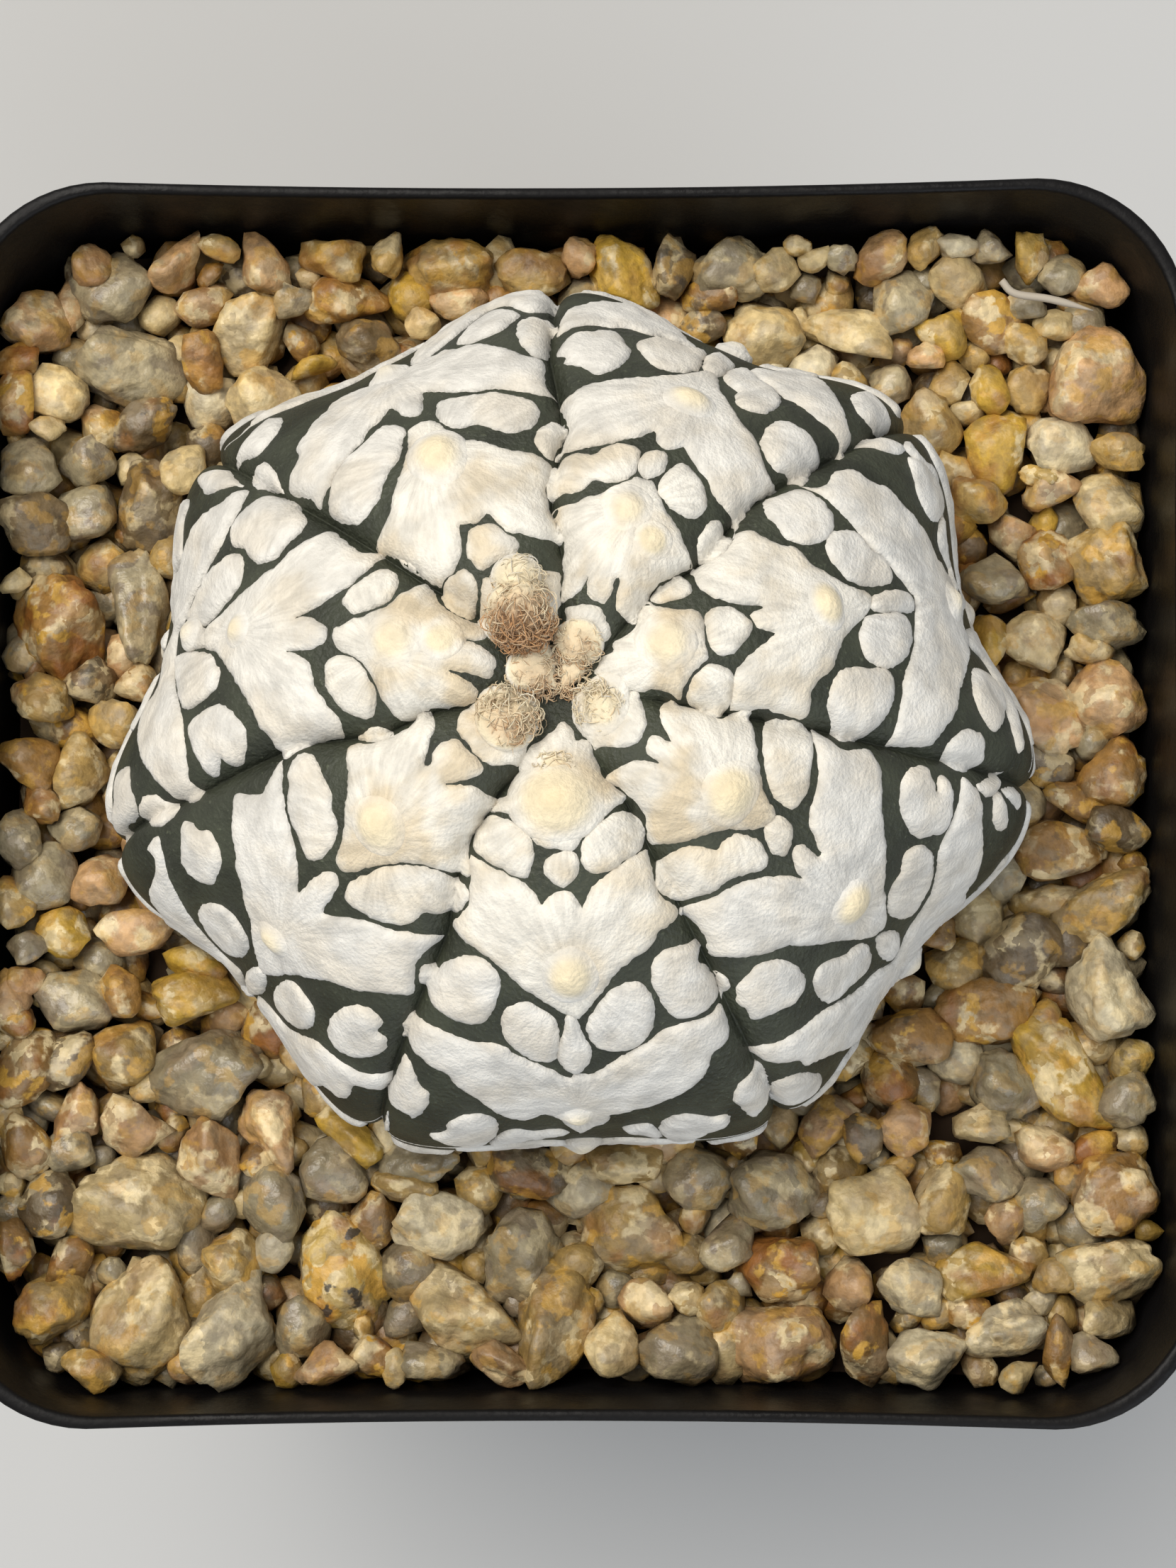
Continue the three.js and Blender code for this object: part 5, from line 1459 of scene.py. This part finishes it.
def stone_material():
    """Decomposed granite: each stone's own tint, darkened toward brown as painted shade in the dents of its bump,
    with soft patches of cream feldspar, grey quartz and gold, a wavering mosaic of lighter and darker grains, and
    rust stains and dark specks by the stone's traits."""
    material = new_material("Decomposed granite", (0.4, 0.28, 0.13), 0.5, 0.5)
    weave = Weave(material)
    place, tint, traits = weave.object_place(), weave.attribute("tint", "Color"), weave.attribute("traits")
    split = weave.tree.nodes.new("ShaderNodeSeparateXYZ")
    weave.put(split.inputs[0], traits)
    rust, specks, grey = split.outputs
    facet, hue = weave.cells(place, 950, 0.0014)[:2]
    soft, fine = weave.noise(place, 330, 4), weave.noise(place, 1250, 5)
    # Painted shade: the tint is blended up to 40 per cent toward dark brown where the soft noise is low, which are
    # the dents of the bump made from the same noise.
    color = weave.blend(weave.ramp(soft, 0.32, 0.68, 0.4, 0.0), tint, (0.10, 0.06, 0.028, 1))
    bright = weave.math("MULTIPLY", weave.ramp(hue, 0.2, 0.5, 0.2, 0.8), weave.ramp(grey, 0.1, 0.7, 1.0, 0.4))
    for scale, low, high, share, patch in (
        (340, 0.5, 0.57, bright, (0.80, 0.65, 0.37, 1)),
        (370, 0.53, 0.59, weave.math("ADD", 0.18, grey), (0.25, 0.20, 0.13, 1)),
        (510, 0.54, 0.6, weave.math("ADD", 0.2, rust), (0.56, 0.32, 0.055, 1)),
        (260, 0.5, 0.64, rust, (0.27, 0.105, 0.02, 1)),
        (620, 0.58, 0.63, specks, (0.03, 0.027, 0.024, 1)),
    ):
        mask = weave.ramp(weave.noise(place, scale, 6), low, high)
        color = weave.blend(weave.math("MULTIPLY", mask, share), color, patch)
    shade = weave.math("MULTIPLY", weave.ramp(facet, 0, 1, 0.8, 1.0), weave.ramp(fine, 0.35, 0.65, 0.82, 1.1))
    color = weave.darken(color, shade)
    weave.put(weave.shader.inputs["Base Color"], color)
    weave.put(weave.shader.inputs["Roughness"], weave.ramp(grey, 0.2, 0.8, 0.5, 0.32))
    grain = weave.grain(place, 1500, 0.2)
    weave.put(weave.shader.inputs["Normal"], weave.bump(soft, 0.6, 0.7 * MM, grain.outputs["Normal"]))
    weave.shader.inputs["Coat Weight"].default_value = 0.15
    weave.shader.inputs["Coat Roughness"].default_value = 0.25
    return material


def pot_material(color):
    """Black plastic whose roughness drifts in soft patches over a fine grain."""
    material = new_material("Black moulded plastic", color, 0.45, 0.14)
    weave = Weave(material)
    place = weave.object_place()
    grain = weave.grain(place, 900, 0.12)
    weave.put(weave.shader.inputs["Roughness"], weave.ramp(weave.noise(place, 120, 4), 0.35, 0.7, 0.36, 0.56))
    weave.put(weave.shader.inputs["Normal"], grain.outputs["Normal"])
    return material


# Settings, operators and panel

COLOR = dict(subtype="COLOR", size=3, min=0.0, max=1.0)


class StarCactusSettings(bpy.types.PropertyGroup):
    """Sizes and colours that a user would change."""

    felt_thickness: bpy.props.FloatProperty(
        name="Felt thickness", description="Height of the felt flecks over the skin, in millimetres",
        default=0.3, min=0.1, max=0.6)
    wool_density: bpy.props.FloatProperty(
        name="Wool density", description="Share of the crown's hairs that are made",
        default=1.0, min=0.1, max=1.5)
    gravel_seed: bpy.props.IntProperty(
        name="Gravel seed", description="Number that the scattered stones are drawn from", default=7)
    skin_color: bpy.props.FloatVectorProperty(
        name="Skin colour", description="Green of the bare skin", default=(0.034, 0.038, 0.024), **COLOR)
    felt_color: bpy.props.FloatVectorProperty(
        name="Felt colour", description="White of the felt flecks", default=(0.80, 0.76, 0.67), **COLOR)
    wool_color: bpy.props.FloatVectorProperty(
        name="Wool colour", description="Brown of the crown's wool", default=(0.50, 0.27, 0.12), **COLOR)
    pot_color: bpy.props.FloatVectorProperty(
        name="Pot colour", description="Black of the nursery pot", default=(0.0045, 0.004, 0.004), **COLOR)
    floor_color: bpy.props.FloatVectorProperty(
        name="Floor colour", description="Pale floor under the pot", default=(0.47, 0.468, 0.46), **COLOR)
    key_power: bpy.props.FloatProperty(
        name="Key light", description="Power of the large soft light", default=1.1, min=0.0, unit="POWER")


def settings():
    """The settings of the scene."""
    return bpy.context.scene.star_cactus


class BuildPot(bpy.types.Operator):
    """Build the square black nursery pot"""

    bl_idname = "star_cactus.build_pot"
    bl_label = "Pot"

    def execute(self, context):
        points, faces = square_turning(pot_profile(), 14, 14)
        faces = [tuple(reversed(face)) for face in faces]
        piece = add_piece("nursery_pot", points, faces, pot_material(settings().pot_color))
        drill_holes(piece)
        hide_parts("pot")
        return {"FINISHED"}


def drill_holes(piece):
    """Four drain holes through the pot's floor, cut with the Boolean modifier and applied."""
    cutters = []
    for side in (-1, 1):
        for end in (-1, 1):
            bpy.ops.mesh.primitive_cylinder_add(
                vertices=32, radius=DRAIN_HOLE_RADIUS * MM, depth=4 * POT_FLOOR * MM,
                location=(side * DRAIN_HOLE_REACH * MM, end * DRAIN_HOLE_REACH * MM, POT_FLOOR / 2 * MM))
            cutters.append(bpy.context.object)
    for cutter in cutters:
        cut = piece.modifiers.new("Drain hole", "BOOLEAN")
        cut.operation = "DIFFERENCE"
        cut.solver = "EXACT"
        cut.object = cutter
    holed = bpy.data.meshes.new_from_object(piece.evaluated_get(bpy.context.evaluated_depsgraph_get()))
    piece.modifiers.clear()
    piece.data = holed
    for cutter in cutters:
        bpy.data.objects.remove(cutter)


class BuildGravel(bpy.types.Operator):
    """Build the granite top dressing and give the potting mix its finish"""

    bl_idname = "star_cactus.build_gravel"
    bl_label = "Gravel"

    def execute(self, context):
        granite = stone_material()
        seed = settings().gravel_seed
        rows = stone_rows(seed)
        pieces = []
        for name, far, first in (("gravel_far", True, 1000), ("gravel_near", False, 5000)):
            part = [row for row in rows if (row[1] >= 0) == far]
            points, faces, traits = stones_from(part, seed, first)
            pieces.append(add_piece(name, points, faces, granite, attributes=traits))
        stem = catmull_rom(DRY_STEM, 6)
        path = np.array([at_level(spot, GRAVEL_LEVEL + 6.4) for spot in stem])
        points, faces = tubes(path[None], np.array([0.3]), 8)
        straw = new_material("Dry stem", (0.4, 0.35, 0.28), 0.8)
        pieces.append(add_piece("dry_stem", points, faces, straw))
        points, faces = bed_mesh()
        # The bed's dark brown is partly painted shade: it gives the ground beneath the stones the colour of the
        # shaded gaps between them.
        dark = new_material("Bed in painted gap shade", (0.045, 0.026, 0.014), 0.95)
        pieces.append(add_piece("gravel_bed", points, faces, dark))
        for piece in pieces:
            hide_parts("gravel")
        soil = new_material("Peat and pumice mix", (0.035, 0.024, 0.017), 0.95)
        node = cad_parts["potting_mix"]
        node.data.materials.clear()
        node.data.materials.append(soil)
        return {"FINISHED"}


class BuildSkin(bpy.types.Operator):
    """Build the green ribbed body"""

    bl_idname = "star_cactus.build_skin"
    bl_label = "Ribbed body"

    def execute(self, context):
        points, faces = skin_mesh()
        piece = add_piece("cactus_skin", points, faces, skin_material(settings().skin_color))
        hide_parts("cactus")
        return {"FINISHED"}


class BuildFelt(bpy.types.Operator):
    """Build the felt flecks of each rib and the areole pads"""

    bl_idname = "star_cactus.build_felt"
    bl_label = "Felt flecks"

    def execute(self, context):
        pale = tuple(settings().felt_color)
        felt = felt_material("White felt", pale, TAN)
        for name in FLECKS:
            points, faces, attributes = rib_flecks(name, settings().felt_thickness)
            piece = add_piece("flecks_" + name, points, faces, felt, attributes=attributes)
            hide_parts("cactus")
        points, faces, tones = pad_mesh()
        cushion = wool_material("Cream areole felt", pale, TAN, CREAM, (0.72, 0.54, 0.26))
        traits = {"tone": tones, "warmth": warmth_of(points)}
        piece = add_piece("areole_pads", points, faces, cushion, attributes=traits)
        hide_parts("cactus")
        return {"FINISHED"}


def warmth_of(points):
    """Warmth of the felt at places in millimetres, by their distance from the plant's axis: tan patches toward 1
    and a painted bluish shade toward 0.
    """
    return 1 - smooth(np.hypot(*(points[:, :2] - PLANT_AXIS).T), 6, 23)


def pad_mesh():
    """Areole pads: those of the photograph, and on the unseen side those of the areole table."""
    parts, tones = [], []
    rows = [(on_plant(np.array([[x, y]], float)), wide, tall, tone)
            for pads in PADS.values() for x, y, wide, tall, tone in pads]
    for rib in range(7):
        for arc in AREOLE_ARCS[rib]:
            if arc > SEAM_ARC:
                rows.append(((np.array([CRESTS[rib]]), np.array([arc])), 22, 18, 0.15))
    for index, ((azimuth, arc), wide, tall, tone) in enumerate(rows):
        size = pixel_size(skin_points(azimuth, arc)[0]) if arc[0] < SEAM_ARC else PAD_PIXEL
        height = 0.5 * size * (wide + tall) / 2 + 0.1
        points, faces, shares = mound(azimuth[0], arc[0], size * wide, size * tall, height, 900 + index)
        parts.append((points, faces))
        tones.append((0.12 + 0.5 * tone) * shares)
    points, faces = join(parts)
    return points, faces, np.concatenate(tones)


class BuildWool(bpy.types.Operator):
    """Build the curly wool of the crown"""

    bl_idname = "star_cactus.build_wool"
    bl_label = "Crown wool"

    def execute(self, context):
        (points, faces), tones = wool_mesh(settings().wool_density)
        pale = tuple(settings().felt_color)
        wool = wool_material("Curly wool", pale, TAN, CREAM, tuple(settings().wool_color))
        traits = {"tone": tones, "warmth": warmth_of(points)}
        piece = add_piece("crown_wool_hairs", points, faces, wool, attributes=traits)
        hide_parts("crown_wool")
        return {"FINISHED"}


class BuildStage(bpy.types.Operator):
    """Build the floor, the lights and the camera"""

    bl_idname = "star_cactus.build_stage"
    bl_label = "Stage"

    def execute(self, context):
        scene = context.scene
        bpy.ops.mesh.primitive_plane_add(size=4.0)
        floor = context.object
        floor.name = "floor"
        floor.data.materials.append(new_material("Pale floor", tuple(settings().floor_color), 0.7, 0.2))
        add_light("key", (-0.32, 0.27, 0.85), 0.62, settings().key_power * 8.2, (1.0, 0.955, 0.885))
        add_light("fill", (0.3, -0.55, 0.52), 0.7, settings().key_power * 2.7, (0.86, 0.92, 1.0))
        world = bpy.data.worlds.new("Soft room")
        world.use_nodes = True
        world.node_tree.nodes["Background"].inputs["Color"].default_value = (0.93, 0.96, 1.0, 1)
        world.node_tree.nodes["Background"].inputs["Strength"].default_value = 0.42
        scene.world = world
        data = bpy.data.cameras.new("photo_camera")
        data.lens = 36.0 * FOCAL_PIXELS / PHOTO_SIZE[1]
        camera = bpy.data.objects.new("photo_camera", data)
        camera.location = (CAMERA_PLACE * MM).tolist()
        camera.rotation_euler = CAMERA_TURN
        scene.collection.objects.link(camera)
        scene.camera = camera
        scene.view_settings.view_transform = "Standard"
        return {"FINISHED"}


def add_light(name, place, size, power, color):
    """A square area light at a place in metres that faces the plant."""
    data = bpy.data.lights.new(name, "AREA")
    data.size = size
    data.energy = power
    data.color = color
    light = bpy.data.objects.new(name, data)
    light.location = place
    aim = Vector((0, 0, EQUATOR_LEVEL * MM)) - Vector(place)
    light.rotation_euler = aim.to_track_quat("-Z", "Y").to_euler()
    bpy.context.scene.collection.objects.link(light)


OPERATORS = (BuildPot, BuildGravel, BuildSkin, BuildFelt, BuildWool, BuildStage)


class StarCactusPanel(bpy.types.Panel):
    """Buttons that build the plant, and its settings"""

    bl_idname = "VIEW3D_PT_star_cactus"
    bl_label = "Star cactus"
    bl_space_type = "VIEW_3D"
    bl_region_type = "UI"
    bl_category = "Star cactus"

    def draw(self, context):
        for name in StarCactusSettings.__annotations__:
            self.layout.prop(context.scene.star_cactus, name)
        for operator in OPERATORS:
            self.layout.operator(operator.bl_idname)


CLASSES = (StarCactusSettings, *OPERATORS, StarCactusPanel)


def register():
    for item in CLASSES:
        bpy.utils.register_class(item)
    bpy.types.Scene.star_cactus = bpy.props.PointerProperty(type=StarCactusSettings)


def unregister():
    del bpy.types.Scene.star_cactus
    for item in reversed(CLASSES):
        bpy.utils.unregister_class(item)


def main():
    register()
    bpy.ops.star_cactus.build_pot()
    bpy.ops.star_cactus.build_gravel()
    bpy.ops.star_cactus.build_skin()
    bpy.ops.star_cactus.build_felt()
    bpy.ops.star_cactus.build_wool()
    bpy.ops.star_cactus.build_stage()


if __name__ == "__main__":
    main()
